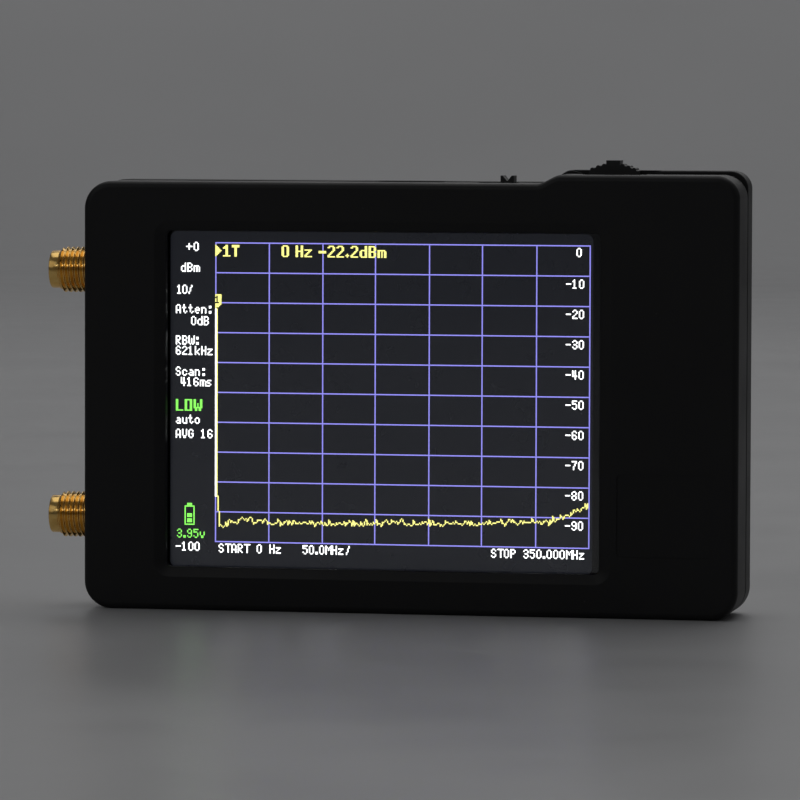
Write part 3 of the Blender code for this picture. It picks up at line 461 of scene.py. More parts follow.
class Finish:
    """A Principled material whose colour, roughness and relief come from patterns in object space."""

    def __init__(self, name, **constants):
        self.name = name
        self.material = bpy.data.materials.new(name)
        self.material.use_nodes = True
        self.nodes = self.material.node_tree.nodes
        self.links = self.material.node_tree.links
        self.shader = self.nodes["Principled BSDF"]
        self.place = self.add("TexCoord").outputs["Object"]
        self.normal = None
        for label, value in constants.items():
            self.shader.inputs[label.replace("_", " ")].default_value = value

    def add(self, kind, **inputs):
        """A new node, each named input linked to a socket or set to a constant."""
        node = self.nodes.new("ShaderNode" + kind)
        for label, value in inputs.items():
            target = node.inputs[label.replace("_", " ")]
            if isinstance(value, bpy.types.NodeSocket):
                self.links.new(value, target)
            else:
                target.default_value = value
        return node

    def stretched(self, x, y, z):
        """Object coordinates scaled per axis, for grain that runs one way."""
        return self.add("Mapping", Scale=(x, y, z), Vector=self.place).outputs["Vector"]

    def noise(self, size, detail=2.0, place=None):
        """Soft blotches about `size` millimetres across."""
        scale = 1 / (size * MM)
        return self.add("TexNoise", Scale=scale, Detail=detail, Vector=place or self.place).outputs["Fac"]

    def cells(self, size):
        """Distance to the nearest of scattered points about `size` millimetres apart."""
        return self.add("TexVoronoi", Scale=1 / (size * MM), Vector=self.place).outputs["Distance"]

    def stripes(self, size, axis, warp=0.0):
        """Bands about `size` millimetres apart along an axis."""
        scale = WAVE_BAND / (size * MM)
        node = self.add("TexWave", Scale=scale, Distortion=warp, Vector=self.place)
        node.bands_direction = axis
        return node.outputs["Fac"]

    def between(self, socket, low, high, start=0.3, end=0.7):
        """The socket's start..end stretched over low..high."""
        limits = {"From Min": start, "From Max": end, "To Min": low, "To Max": high}
        return self.add("MapRange", Value=socket, **limits).outputs["Result"]

    def times(self, first, second):
        node = self.add("Math")
        node.operation = "MULTIPLY"
        self.links.new(first, node.inputs[0])
        self.links.new(second, node.inputs[1])
        return node.outputs[0]

    def mixed(self, factor, first, second):
        """A colour between two, each a tuple or a socket."""
        node = self.add("Mix")
        node.data_type = "RGBA"
        self.links.new(factor, node.inputs["Factor"])
        for colour, label in ((first, 6), (second, 7)):
            if isinstance(colour, tuple):
                node.inputs[label].default_value = (*colour, 1.0)
            else:
                self.links.new(colour, node.inputs[label])
        return node.outputs[2]

    def tint(self, factor, first, second):
        """Base colour between two."""
        self.links.new(self.mixed(factor, first, second), self.shader.inputs["Base Color"])

    def roughness(self, socket):
        self.links.new(socket, self.shader.inputs["Roughness"])

    def rough(self, low, high, size, detail=2.0):
        """Roughness from low to high, in blotches about `size` millimetres across."""
        self.roughness(self.between(self.noise(size, detail), low, high))

    def relief(self, socket, depth):
        """Adds relief `depth` millimetres deep."""
        node = self.add("Bump", Distance=depth * MM, Height=socket)
        if self.normal is not None:
            self.links.new(self.normal, node.inputs["Normal"])
        self.normal = node.outputs["Normal"]
        self.links.new(self.normal, self.shader.inputs["Normal"])


def plain_finish(name, dark, light, rough, blotch, grain, grain_depth):
    """Colour between dark and light, roughness between two values, and one grain."""
    finish = Finish(name)
    finish.tint(finish.between(finish.noise(blotch, 4.0), 0.0, 1.0), dark, light)
    finish.rough(*rough, blotch * 0.6, 5.0)
    finish.relief(finish.noise(grain, 3.0), grain_depth)
    return finish


def make_case_plastic():
    """Satin black with a fine moulded texture, faint smudges and a few dust specks."""
    finish = Finish("case_plastic", IOR=1.4)
    blotches = finish.between(finish.noise(14.0, 4.0), 0.0, 1.0)
    base = finish.mixed(blotches, (0.0065, 0.0065, 0.0072), (0.0095, 0.0095, 0.01))
    specks = finish.between(finish.cells(2.6), 1.0, 0.0, 0.02, 0.045)
    dusty = finish.between(finish.noise(11.0), 0.0, 0.8, 0.5, 0.62)
    finish.tint(finish.times(specks, dusty), base, (0.06, 0.058, 0.056))
    finish.rough(0.42, 0.54, 17.0, 6.0)
    finish.relief(finish.noise(0.16, 3.0), 0.0055)
    finish.relief(finish.noise(4.0, 2.0), 0.006)
    return finish


def make_key_plastic():
    """Moulded black, a little shinier than the case where fingers rub it."""
    finish = Finish("key_plastic", IOR=1.5)
    finish.tint(finish.noise(3.0, 4.0), (0.011, 0.011, 0.012), (0.02, 0.02, 0.02))
    finish.rough(0.34, 0.55, 2.4, 5.0)
    finish.relief(finish.noise(0.1, 3.0), 0.004)
    return finish


def make_gold():
    """Gold plate over turned brass: fine turning marks, warm tarnish in the hollows."""
    finish = Finish("gold_plate", Metallic=1.0)
    blotches = finish.between(finish.noise(0.9, 4.0), 0.0, 1.0)
    base = finish.mixed(blotches, (0.9, 0.55, 0.16), (1.0, 0.68, 0.24))
    tarnish = finish.between(finish.noise(2.3, 3.0), 0.0, 0.4, 0.55, 0.78)
    finish.tint(tarnish, base, (0.6, 0.3, 0.07))
    finish.rough(0.12, 0.24, 0.5, 5.0)
    finish.relief(finish.noise(0.045, 2.0, finish.stretched(1.0, 0.02, 0.02)), 0.0012)
    return finish


def make_screw_steel():
    """Black oxide, worn to bare steel in small spots."""
    finish = Finish("screw_steel", Metallic=1.0)
    worn = finish.between(finish.noise(0.35, 5.0), 0.0, 1.0, 0.58, 0.72)
    finish.tint(worn, (0.028, 0.028, 0.031), (0.16, 0.155, 0.15))
    finish.rough(0.28, 0.48, 0.3, 4.0)
    finish.relief(finish.noise(0.08, 3.0), 0.002)
    return finish


def make_touch_glass():
    """Clear coated film on glass, with faint finger marks in its gloss."""
    finish = Finish("touch_glass", Transmission_Weight=1.0, IOR=1.5)
    finish.tint(finish.noise(20.0), (0.93, 0.95, 0.96), (0.97, 0.98, 0.98))
    finish.rough(0.03, 0.05, 12.0, 2.0)
    finish.relief(finish.noise(12.0, 1.0), 0.0001)
    return finish


def make_field():
    """The display's unlit dots, which still leak a little of the light behind them."""
    finish = Finish("display_field", Emission_Strength=1.0)
    finish.shader.inputs["Emission Color"].default_value = (0.0085, 0.0092, 0.0125, 1.0)
    columns = finish.between(finish.stripes(DOT, "X"), 0.0, 1.0, 0.1, 0.9)
    finish.tint(columns, (0.006, 0.006, 0.008), (0.012, 0.013, 0.016))
    finish.rough(0.25, 0.4, 3.0)
    return finish


def make_light(name, base, glow, strength):
    """Lit dots: an even glow over fine vertical sub-dots."""
    finish = Finish(name, Emission_Strength=strength)
    finish.shader.inputs["Emission Color"].default_value = (*glow, 1.0)
    darker = tuple(0.6 * part for part in base)
    finish.tint(finish.stripes(DOT / 3, "X"), darker, base)
    finish.rough(0.3, 0.5, 2.0)
    return finish


def make_board_laminate():
    """Dark solder mask over copper runs, with tinned pads showing here and there."""
    finish = Finish("board_laminate", IOR=1.5)
    runs = finish.between(finish.stripes(0.9, "X", 6.0), 0.0, 1.0, 0.45, 0.55)
    mask = finish.mixed(runs, (0.006, 0.02, 0.035), (0.012, 0.04, 0.07))
    pads = finish.between(finish.cells(2.2), 1.0, 0.0, 0.16, 0.19)
    finish.tint(pads, mask, (0.55, 0.54, 0.5))
    finish.rough(0.28, 0.45, 1.5, 4.0)
    finish.relief(runs, 0.02)
    finish.relief(finish.noise(0.3), 0.004)
    return finish


def make_flex_film():
    """Amber film with copper tracks running along it."""
    finish = Finish("flex_film", IOR=1.6)
    tracks = finish.between(finish.stripes(0.6, "Z"), 0.0, 1.0, 0.4, 0.6)
    finish.tint(tracks, (0.62, 0.24, 0.035), (0.35, 0.12, 0.02))
    finish.rough(0.25, 0.4, 2.0, 3.0)
    finish.relief(tracks, 0.01)
    return finish


def make_can_steel():
    """Tinned sheet with a faint rolled grain."""
    finish = Finish("can_steel", Metallic=1.0)
    finish.tint(finish.noise(1.8, 4.0), (0.56, 0.56, 0.57), (0.74, 0.74, 0.75))
    grain = finish.noise(0.12, 3.0, finish.stretched(0.06, 1.0, 1.0))
    finish.roughness(finish.between(grain, 0.2, 0.38))
    finish.relief(grain, 0.0015)
    return finish


def make_cell_foil():
    """Aluminium laminate, slightly wrinkled over the soft cell."""
    finish = Finish("cell_foil", Metallic=0.85)
    finish.tint(finish.noise(6.0, 4.0), (0.62, 0.62, 0.64), (0.8, 0.8, 0.82))
    finish.rough(0.25, 0.45, 2.0, 5.0)
    finish.relief(finish.noise(5.0, 3.0, finish.stretched(1.0, 1.0, 0.4)), 0.12)
    return finish


def make_foam():
    """Closed-cell foam."""
    finish = Finish("foam", Sheen_Weight=0.2)
    finish.tint(finish.noise(0.8, 4.0), (0.02, 0.02, 0.02), (0.042, 0.042, 0.04))
    finish.rough(0.88, 1.0, 1.0)
    finish.relief(finish.cells(0.22), 0.08)
    return finish


# Lit dots: name, base colour, glow, strength
LIT_DOTS = (
    ("display_white", (0.8, 0.8, 0.82), (1.0, 1.0, 1.0), 2.6),
    ("display_yellow", (0.8, 0.75, 0.2), (0.96, 0.9, 0.26), 1.6),
    ("display_green", (0.2, 0.7, 0.1), (0.22, 0.8, 0.1), 1.7),
    ("display_grid", (0.3, 0.29, 0.85), (0.3, 0.28, 0.9), 1.2),
)
# Plain finishes: name, dark, light, roughness range, blotch size, grain size, grain depth
PLAIN_FINISHES = (
    ("cell_glass", (0.004, 0.004, 0.005), (0.009, 0.009, 0.011), (0.12, 0.22), 8.0, 3.0, 0.001),
    ("backlight_plastic", (0.72, 0.73, 0.74), (0.84, 0.84, 0.84), (0.35, 0.5), 6.0, 0.2, 0.006),
    ("chip_epoxy", (0.014, 0.014, 0.015), (0.028, 0.028, 0.028), (0.5, 0.68), 0.9, 0.07, 0.006),
    ("ptfe", (0.78, 0.77, 0.72), (0.88, 0.87, 0.84), (0.42, 0.58), 1.2, 0.12, 0.004),
    ("connector_plastic", (0.72, 0.69, 0.6), (0.84, 0.82, 0.76), (0.4, 0.55), 1.5, 0.15, 0.005),
    ("black_nylon", (0.014, 0.014, 0.014), (0.026, 0.026, 0.026), (0.42, 0.6), 1.2, 0.1, 0.005),
    ("red_wire", (0.42, 0.012, 0.012), (0.62, 0.025, 0.02), (0.32, 0.48), 1.6, 0.2, 0.006),
    ("black_wire", (0.01, 0.01, 0.01), (0.022, 0.022, 0.022), (0.32, 0.48), 1.6, 0.2, 0.006),
    ("led_resin", (0.66, 0.78, 0.6), (0.8, 0.88, 0.74), (0.15, 0.25), 0.6, 0.3, 0.003),
)


def make_materials():
    made = [
        make_case_plastic(),
        make_key_plastic(),
        make_gold(),
        make_screw_steel(),
        make_touch_glass(),
        make_field(),
        *[make_light(*row) for row in LIT_DOTS],
        make_board_laminate(),
        make_flex_film(),
        make_can_steel(),
        make_cell_foil(),
        make_foam(),
        *[plain_finish(*row) for row in PLAIN_FINISHES],
    ]
    return {finish.name: finish.material for finish in made}


# -------- case

def screw_places():
    """The screws' x-z places, one near each corner."""
    right = CASE_WIDTH - SCREW_INSET
    top = CASE_HEIGHT - SCREW_INSET
    return ((SCREW_INSET, SCREW_INSET), (right, SCREW_INSET), (SCREW_INSET, top), (right, top))


def posts(name, radius, span):
    """A round post along y at each screw."""
    places = enumerate(screw_places())
    return [cylinder(f"{name}_{number}", "y", place, radius, span) for number, place in places]


def opening_tools():
    """What both shells are cut by: jack holes, USB-C mouth, jog opening with its scoop, and switch slot."""
    tools = []
    inside_z = CASE_HEIGHT - WALL - 0.6
    for side, span in JACKS.items():
        centre = (middle(span[1]), middle(span[2]))
        profile = [
            (JACK_HOLE_RADIUS + JACK_HOLE_RIM + CLEAR, -CLEAR),
            (JACK_HOLE_RADIUS + JACK_HOLE_RIM, 0.0),
            (JACK_HOLE_RADIUS, JACK_HOLE_RIM),
            (JACK_HOLE_RADIUS, WALL + 0.4),
        ]
        tools.append(loft(f"{side}_jack_hole", rings(centre, "x", 72, profile)))
    tools.append(loft("usb_mouth", [
        stadium(USB_OPENING, 0.0, inside_z),
        stadium(USB_OPENING, 0.0, CASE_HEIGHT - USB_RIM),
        stadium(USB_OPENING, USB_RIM, CASE_HEIGHT),
        stadium(USB_OPENING, USB_RIM + CLEAR, CASE_HEIGHT + CLEAR),
    ]))
    tools.append(box(
        "jog_opening",
        (JOG_PIVOT[0] - JOG_OPENING_HALF_WIDTH, JOG_OPENING_Y[0], inside_z),
        (JOG_PIVOT[0] + JOG_OPENING_HALF_WIDTH, JOG_OPENING_Y[1], CASE_HEIGHT + REAR_SHOULDER_RISE + CLEAR),
    ))
    scoop_z = CASE_HEIGHT + FRONT_SHOULDER_RISE + SCOOP_RADIUS - SCOOP_DEPTH
    scoop = arc((JOG_PIVOT[0], scoop_z), SCOOP_RADIUS, 252, 288, 48)
    tools.append(extruded("jog_scoop", scoop, (SCOOP_Y, JOG_OPENING_Y[1])))
    low = (KNOB[0][0] - SWITCH_TRAVEL - SLOT_MARGIN, KNOB[1][0] - SLOT_MARGIN, inside_z)
    high = (KNOB[0][1] + SLOT_MARGIN, PARTING_Y + SHELL_GAP + 0.001, CASE_HEIGHT + CLEAR)
    tools.append(box("switch_slot", low, high))
    return tools


def window_tool():
    """The window with its flat chamfer; both of the chamfer's edges are slightly rounded."""
    def section(share, y):
        size = (WINDOW_SIZE[0] + 2 * CHAMFER[0] * share, WINDOW_SIZE[1] + 2 * CHAMFER[1] * share)
        radius = WINDOW_RADIUS + CHAMFER[1] * share
        return [(x, y, z) for x, z in rounded_rectangle(WINDOW_CENTRE, size, radius)]

    profile = (
        (0.0, WALL + CLEAR),
        (0.0, CHAMFER_DEPTH + 0.16),
        (0.01, CHAMFER_DEPTH + 0.06),
        (0.05, CHAMFER_DEPTH - 0.01),
        (0.12, CHAMFER_DEPTH - 0.06),
        (0.9, 0.05),
        (0.97, 0.018),
        (1.05, 0.0),
        (1.05, -0.3),
    )
    return loft("window", [section(share, y) for share, y in profile])


def make_front_shell():
    """The front shell, with its window, blank recess, bosses and openings."""
    stations = rounded_edge(0, 1, FRONT_EDGE_RADIUS, 10)
    stations += reversed(rounded_edge(PARTING_Y, -1, PARTING_EDGE_RADIUS, 3))
    shell = slab("front_shell", front_outline, stations)
    end = PARTING_Y + CLEAR
    rebate_y = PARTING_Y + SHELL_GAP - LIP_HEIGHT - LIP_GAP
    rebate_inset = WALL - LIP_THICKNESS - LIP_GAP
    recess = rounded_rectangle(RECESS_CENTRE, RECESS_SIZE, RECESS_RADIUS, 6)
    carve(shell, [
        slab("cavity", front_outline, ((WALL, WALL), (end, WALL))),
        slab("rebate", front_outline, ((rebate_y, rebate_inset), (end, rebate_inset))),
        window_tool(),
        extruded("recess", recess, (-CLEAR, RECESS_DEPTH)),
    ])
    carve(shell, posts("boss", BOSS_RADIUS, (WALL - BOSS_SINK, PARTING_Y - BOSS_GAP)), "UNION")
    carve(shell, posts("bore", BOSS_BORE_RADIUS, (BOSS_BORE_Y, end)) + opening_tools())
    dress(shell, "case_plastic", stands_for=["front_case"])


def make_rear_shell():
    """The rear shell, whose lip and cavity follow the front shell's outline."""
    start = PARTING_Y + SHELL_GAP
    stations = rounded_edge(start, 1, PARTING_EDGE_RADIUS, 3)
    stations += reversed(rounded_edge(CASE_DEPTH, -1, REAR_EDGE_RADIUS, 14))
    shell = slab("rear_shell", rear_outline, stations)
    lip_y = start - LIP_HEIGHT
    lip_inset = WALL - LIP_THICKNESS
    lip = slab("lip", front_outline, ((lip_y, lip_inset), (start + LIP_ROOT, lip_inset)))
    carve(shell, [lip], "UNION")
    carve(shell, [slab("cavity", front_outline, ((lip_y - CLEAR, WALL), (CASE_DEPTH - WALL, WALL)))])
    boss_span = (start, CASE_DEPTH - WALL + REAR_BOSS_SINK)
    carve(shell, posts("boss", REAR_BOSS_RADIUS, boss_span), "UNION")
    profile = [
        (BOSS_BORE_RADIUS, start - 2 * CLEAR),
        (BOSS_BORE_RADIUS, HEAD_SEAT_Y),
        (HEAD_SEAT_RADIUS, HEAD_SEAT_Y),
        (HEAD_SEAT_RADIUS, CASE_DEPTH - HEAD_SEAT_RIM),
        (HEAD_SEAT_RADIUS + HEAD_SEAT_RIM, CASE_DEPTH),
        (HEAD_SEAT_RADIUS + HEAD_SEAT_RIM, CASE_DEPTH + CLEAR),
    ]
    seats = [loft("seat", rings(place, "y", 48, profile)) for place in screw_places()]
    carve(shell, seats + opening_tools())
    dress(shell, "case_plastic", stands_for=["rear_case"])


def cross_arms(place, top):
    """The two tapered arms of a screw's cross recess."""
    arms = []
    long, thin = CROSS_ARM
    for wide_x, wide_z in ((long, thin), (thin, long)):
        cross = []
        for y, taper in ((top - CROSS_DEPTH, 0.45), (top + 0.2, 1.1)):
            half_x = wide_x * (taper if wide_x > wide_z else 1.0)
            half_z = wide_z * (taper if wide_z > wide_x else 1.0)
            corners = ((-half_x, -half_z), (half_x, -half_z), (half_x, half_z), (-half_x, half_z))
            cross.append([(place[0] + a, y, place[1] + b) for a, b in corners])
        arms.append(loft("arm", cross))
    return arms


def make_screws():
    """Cross-recessed screws with a domed pan head and a cut thread."""
    for number, place in enumerate(screw_places(), 1):
        node = f"case_screw_{number}"
        tip, top = extent(node)[1]
        seat = HEAD_SEAT_Y + HEAD_GAP
        thread = (tip + SCREW_POINT, seat - 0.5)
        point = [(0.0, tip), (0.3, tip + SCREW_POINT / 2), (SCREW_ROOT, tip + SCREW_POINT)]
        sections = rings(place, "y", 40, point)
        sections += thread_rings(place, "y", 40, thread, SCREW_ROOT, SCREW_CREST, SCREW_PITCH)
        dome = [(SCREW_CREST, seat - 0.4), (SCREW_CREST, seat), (1.44, seat), (1.5, seat + 0.06)]
        dome += [(r, seat + h) for r, h in ((1.5, 0.55), (1.42, 0.78), (1.26, 0.95), (1.0, 1.06))]
        dome += [(0.0, top)]
        sections += rings(place, "y", 40, dome)
        screw = loft(f"machine_screw_{number}", sections)
        carve(screw, cross_arms(place, top))
        dress(screw, "screw_steel", stands_for=[node])


# -------- coaxial jacks

def make_jacks():
    """Both jacks: a body, its insulator and the centre contact."""
    for side, span in JACKS.items():
        centre = (middle(span[1]), middle(span[2]))
        make_jack_body(side, centre)
        face, end = span[0]
        outer = span[1][1] - centre[0]
        hole = CONTACT_RADIUS + 0.1
        profile = [
            (outer, end), (outer, face + 0.08), (outer - 0.08, face),
            (0.8, face), (hole, face + 0.06), (hole, end),
        ]
        insulator = loft(f"{side}_insulator", rings(centre, "x", 64, profile), joined=True)
        dress(insulator, "ptfe", stands_for=[f"{side}_jack_dielectric"])
        make_jack_contact(side, centre)


def make_jack_body(side, centre):
    """Plain pilot, helical thread and square flange with four board legs, bored through."""
    tip = JACK_TIP
    bottom = tip + COUNTERBORE_DEPTH
    inner = BORE_RADIUS - 0.4
    joint = FLANGE_X[0] + 0.5
    profile = [
        (inner, joint),
        (inner, bottom),
        (COUNTERBORE_RADIUS, bottom),
        (COUNTERBORE_RADIUS, tip + 0.07),
        (COUNTERBORE_RADIUS + 0.07, tip),
        (PILOT_RADIUS - PILOT_EDGE, tip),
        (PILOT_RADIUS - 0.05, tip + 0.05),
        (PILOT_RADIUS, tip + PILOT_EDGE),
        (PILOT_RADIUS, THREAD_X[0] - 0.12),
    ]
    root = THREAD_RADIUS - THREAD_DEPTH
    sections = rings(centre, "x", 96, profile)
    sections += thread_rings(centre, "x", 96, THREAD_X, root, THREAD_RADIUS, THREAD_PITCH)
    sections += rings(centre, "x", 96, [(root, joint)])
    body = loft(f"{side}_jack", sections, joined=True)
    half = FLANGE_SIZE / 2
    flange = box(
        "flange",
        (FLANGE_X[0], centre[0] - half, centre[1] - half),
        (FLANGE_X[1], centre[0] + half, centre[1] + half),
    )
    soften(flange, 0.25, 4)
    board = extent("main_board")[1]
    parts = [flange]
    for y_low, y_high in ((LEG_Y[0], board[0] - LEG_BOARD_GAP), (board[1] + LEG_BOARD_GAP, LEG_Y[1])):
        for sign in (-1, 1):
            z = centre[1] + sign * (half - LEG_INSET)
            low = (FLANGE_X[1] - 0.4, y_low, z - LEG_HALF)
            leg = box("leg", low, (JACK_END, y_high, z + LEG_HALF))
            soften(leg, 0.1, 2)
            parts.append(leg)
    carve(body, parts, "UNION")
    bore_span = (bottom - 0.2, FLANGE_X[1] + CLEAR)
    carve(body, [cylinder("bore", "x", centre, BORE_RADIUS, bore_span, 96)])
    dress(body, "gold_plate", stands_for=[f"{side}_jack_body"])


def make_jack_contact(side, centre):
    """The centre contact, a tube split into four fingers at its mouth."""
    node = f"{side}_jack_contact"
    face, end = extent(node)[0]
    profile = [
        (0.0, face + SOCKET_DEPTH), (SOCKET_RADIUS, face + SOCKET_DEPTH - 0.1),
        (SOCKET_RADIUS, face + 0.06), (0.5, face), (0.6, face),
        (CONTACT_RADIUS, face + 0.05), (CONTACT_RADIUS, end), (0.0, end),
    ]
    contact = loft(f"{side}_centre_contact", rings(centre, "x", 40, profile))
    slots = []
    for half_y, half_z in ((0.06, 1.0), (1.0, 0.06)):
        low = (face - 0.5, centre[0] - half_y, centre[1] - half_z)
        high = (face + 1.9, centre[0] + half_y, centre[1] + half_z)
        slots.append(box("slot", low, high))
    carve(contact, slots)
    dress(contact, "gold_plate", stands_for=[node])


# -------- USB-C port

def make_usb():
    """The USB-C receptacle: a folded shell, and a tongue with twelve contacts on each face."""
    low, high = USB[2]
    profile = (
        (0.0, low), (0.0, high - 0.1), (0.04, high - 0.02), (0.12, high),
        (USB_SHEET - 0.06, high), (USB_SHEET, high - 0.08), (USB_SHEET, low),
    )
    sections = [stadium(USB_SIZE, -inset, z) for inset, z in profile]
    dress(loft("usb_receptacle", sections, joined=True), "can_steel", stands_for=["usb_shell"])
    x, y = USB_CENTRE
    foot, tip = extent("usb_tongue")[2]
    gap = USB_SHEET + USB_CORE_GAP
    core = loft("usb_core", [stadium(USB_SIZE, -gap, z) for z in (foot, foot + 1.9)])
    half_x, half_y = BLADE_HALF
    blade = box("blade", (x - half_x, y - half_y, foot + 1.4), (x + half_x, y + half_y, tip))
    soften(blade, 0.12, 3)
    carve(core, [blade], "UNION")
    dress(core, "black_nylon", stands_for=["usb_tongue"])
    pins = []
    for side in (-1, 1):
        surface = y + side * half_y
        inner, outer = sorted((surface, surface + side * PIN_RISE))
        for number in range(12):
            pin_x = x + (number - 5.5) * PIN_PITCH
            top = tip - (0.45 if number in (0, 3, 8, 11) else 0.75)
            pins.append(((pin_x - PIN_HALF, inner, foot + 2.0), (pin_x + PIN_HALF, outer, top)))
    dress(boxes("usb_contacts", pins), "gold_plate")


# -------- keys

def make_knob():
    """The slide switch's knob: a block with a V groove across its top."""
    (x0, x1), (y0, y1), (z0, z1) = KNOB
    x = middle(KNOB[0])
    half_groove = 0.62
    half_foot = 0.06
    foot = z1 - 0.72
    outline = (
        (x0, z0), (x1, z0), (x1, z1), (x + half_groove, z1), (x + half_foot, foot),
        (x - half_foot, foot), (x - half_groove, z1), (x0, z1),
    )
    knob = extruded("slide_knob", outline, (y0, y1))
    soften(knob, 0.1, 3)
    dress(knob, "key_plastic", "power_slider", ["switch_knob"])


def jog_point(angle, radius):
    """A point at `angle` degrees from straight up about the jog pivot, positive to the right."""
    turn = math.radians(angle)
    return (JOG_PIVOT[0] + radius * math.sin(turn), JOG_PIVOT[1] + radius * math.cos(turn))


def jog_outline():
    """A thin arch with upright ends, and three rounded ribs either side of a raised flat key."""
    right = []
    for rib in JOG_RIB_ANGLES:
        for step in range(9):
            share = step / 8
            height = JOG_RIB_RISE * math.sin(PI * share) ** 0.5
            angle = rib + JOG_RIB_HALF_ANGLE * (2 * share - 1)
            right.append(jog_point(angle, JOG_RADIUS + height))
    right.append(jog_point(math.degrees(math.asin(JOG_HALF_WIDTH / JOG_RADIUS)), JOG_RADIUS))
    half = JOG_KEY_HALF_WIDTH
    top = JOG[2][1]
    foot = JOG_PIVOT[1] + math.sqrt(JOG_RADIUS * JOG_RADIUS - half * half)
    outer_right = [(JOG_PIVOT[0] + half, top), (JOG_PIVOT[0] + half, foot)] + right
    outer_left = [(2 * JOG_PIVOT[0] - x, z) for x, z in reversed(outer_right)]
    end_angle = math.degrees(math.asin(JOG_HALF_WIDTH / JOG_INNER_RADIUS))
    inner = [jog_point(end_angle * (1 - step / 20), JOG_INNER_RADIUS) for step in range(41)]
    return outer_left + outer_right + inner


def make_jog():
    """The jog key's cap, with a pocket that its lever stands in."""
    cap = extruded("rocker_cap", jog_outline(), JOG[1])
    soften(cap, 0.07, 3, 35.0)
    lever = extent("jog_lever")
    x = JOG_PIVOT[0]
    low = (x - 0.8, lever[1][0] - 0.25, JOG_PIVOT[1] + 3)
    high = (x + 0.8, lever[1][1] + 0.25, lever[2][1] + 0.3)
    carve(cap, [box("pocket", low, high)])
    dress(cap, "key_plastic", "jog_rocker", ["jog_cap"], 28.0)


# -------- display

SMALL_FONT = {
    "0": ".##. #..# #..# #..# #..# #..# .##.",
    "1": ".#.. ##.. .#.. .#.. .#.. .#.. ###.",
    "2": ".##. #..# ...# ..#. .#.. #... ####",
    "3": ".##. #..# ...# .##. ...# #..# .##.",
    "4": "#.#. #.#. #.#. #.#. #### ..#. ..#.",
    "5": "#### #... ###. ...# ...# #..# .##.",
    "6": ".##. #..# #... ###. #..# #..# .##.",
    "7": "#### ...# ..#. ..#. .#.. .#.. .#..",
    "8": ".##. #..# #..# .##. #..# #..# .##.",
    "9": ".##. #..# #..# .### ...# #..# .##.",
    "+": "..... ..#.. ..#.. ##### ..#.. ..#..",
    "-": ".... .... .... ####",
    ".": ".. .. .. .. .. ## ##",
    ":": ".... .##. .##. .... .... .##. .##.",
    "/": "...# ...# ..#. ..#. ..#. .#.. .#..",
    " ": "....",
    "A": ".##. #..# #..# #..# #### #..# #..#",
    "B": "###. #..# #..# ###. #..# #..# ###.",
    "G": ".##. #..# #... #.## #..# #..# .##.",
    "H": "#..# #..# #..# #### #..# #..# #..#",
    "M": "#...# ##.## #.#.# #.#.# #...# #...# #...#",
    "O": ".##. #..# #..# #..# #..# #..# .##.",
    "P": "###. #..# #..# ###. #... #... #...",
    "R": "###. #..# #..# ###. ##.. #.#. #..#",
    "S": ".##. #..# #... .##. ...# #..# .##.",
    "T": "##### ..#.. ..#.. ..#.. ..#.. ..#.. ..#..",
    "V": "#..# #..# #..# #..# #..# .##. .##.",
    "W": "#...# #...# #.#.# #.#.# #.#.# #.#.# .#.#.",
    "a": ".... .... .##. ...# .### #..# .###",
    "c": ".... .... .##. #..# #... #..# .##.",
    "d": "...# ...# .### #..# #..# #..# .###",
    "e": ".... .... .##. #..# #### #... .##.",
    "k": "#... #... #..# #.#. ##.. #.#. #..#",
    "m": "..... ..... ####. #.#.# #.#.# #.#.# #.#.#",
    "n": ".... .... ###. #..# #..# #..# #..#",
    "o": ".... .... .##. #..# #..# #..# .##.",
    "s": ".... .... .### #... .##. ...# ###.",
    "t": ".#.. .#.. ###. .#.. .#.. .#.# ..#.",
    "u": ".... .... #..# #..# #..# #..# .###",
    "v": ".... .... #..# #..# #..# .##. .##.",
    "z": ".... .... #### ..#. .#.. #... ####",
}
LARGE_FONT = {
    "0": ".####. ##..## ##..## ##..## ##..## ##..## ##..## ##..## .####.",
    "1": "..##.. .###.. ####.. ..##.. ..##.. ..##.. ..##.. ..##.. ######",
    "2": ".####. ##..## ....## ....## ...##. ..##.. .##... ##.... ######",
    "-": "...... ...... ...... ...... ###### ######",
    ".": "... ... ... ... ... ... .#. ### .#.",
    " ": "....",
    "B": "#####. ##..## ##..## ##..## #####. ##..## ##..## ##..## #####.",
    "H": "##..## ##..## ##..## ##..## ###### ##..## ##..## ##..## ##..##",
    "L": "##.... ##.... ##.... ##.... ##.... ##.... ##.... ##.... ######",
    "O": "###### ##..## ##..## ##..## ##..## ##..## ##..## ##..## ######",
    "T": "###### ###### ..##.. ..##.. ..##.. ..##.. ..##.. ..##.. ..##..",
    "W": "##...## ##...## ##...## ##.#.## ##.#.## ##.#.## ####### .##.##. .##.##.",
    "d": "....## ....## ....## .##### ##..## ##..## ##..## ##..## .#####",
    "m": "....... ....... ....... ######. ##.#.## ##.#.## ##.#.## ##.#.## ##.#.##",
    "z": "...... ...... ...... ###### ...##. ..##.. .##... ##.... ######",
}
POINTER = "#.... ##... ###.. ####. ##### ####. ###.. ##... #...."
FLAG = "##### #.### ..### #.### #.### #.### ...## ##### ####. ###.. #...."
BATTERY = (
    "..####.. ..####.. ######## #......# #......# #......# #......# #......# "
    "#.####.# #.####.# #.####.# #......# #.####.# #.####.# #.####.# #......# ########"
)


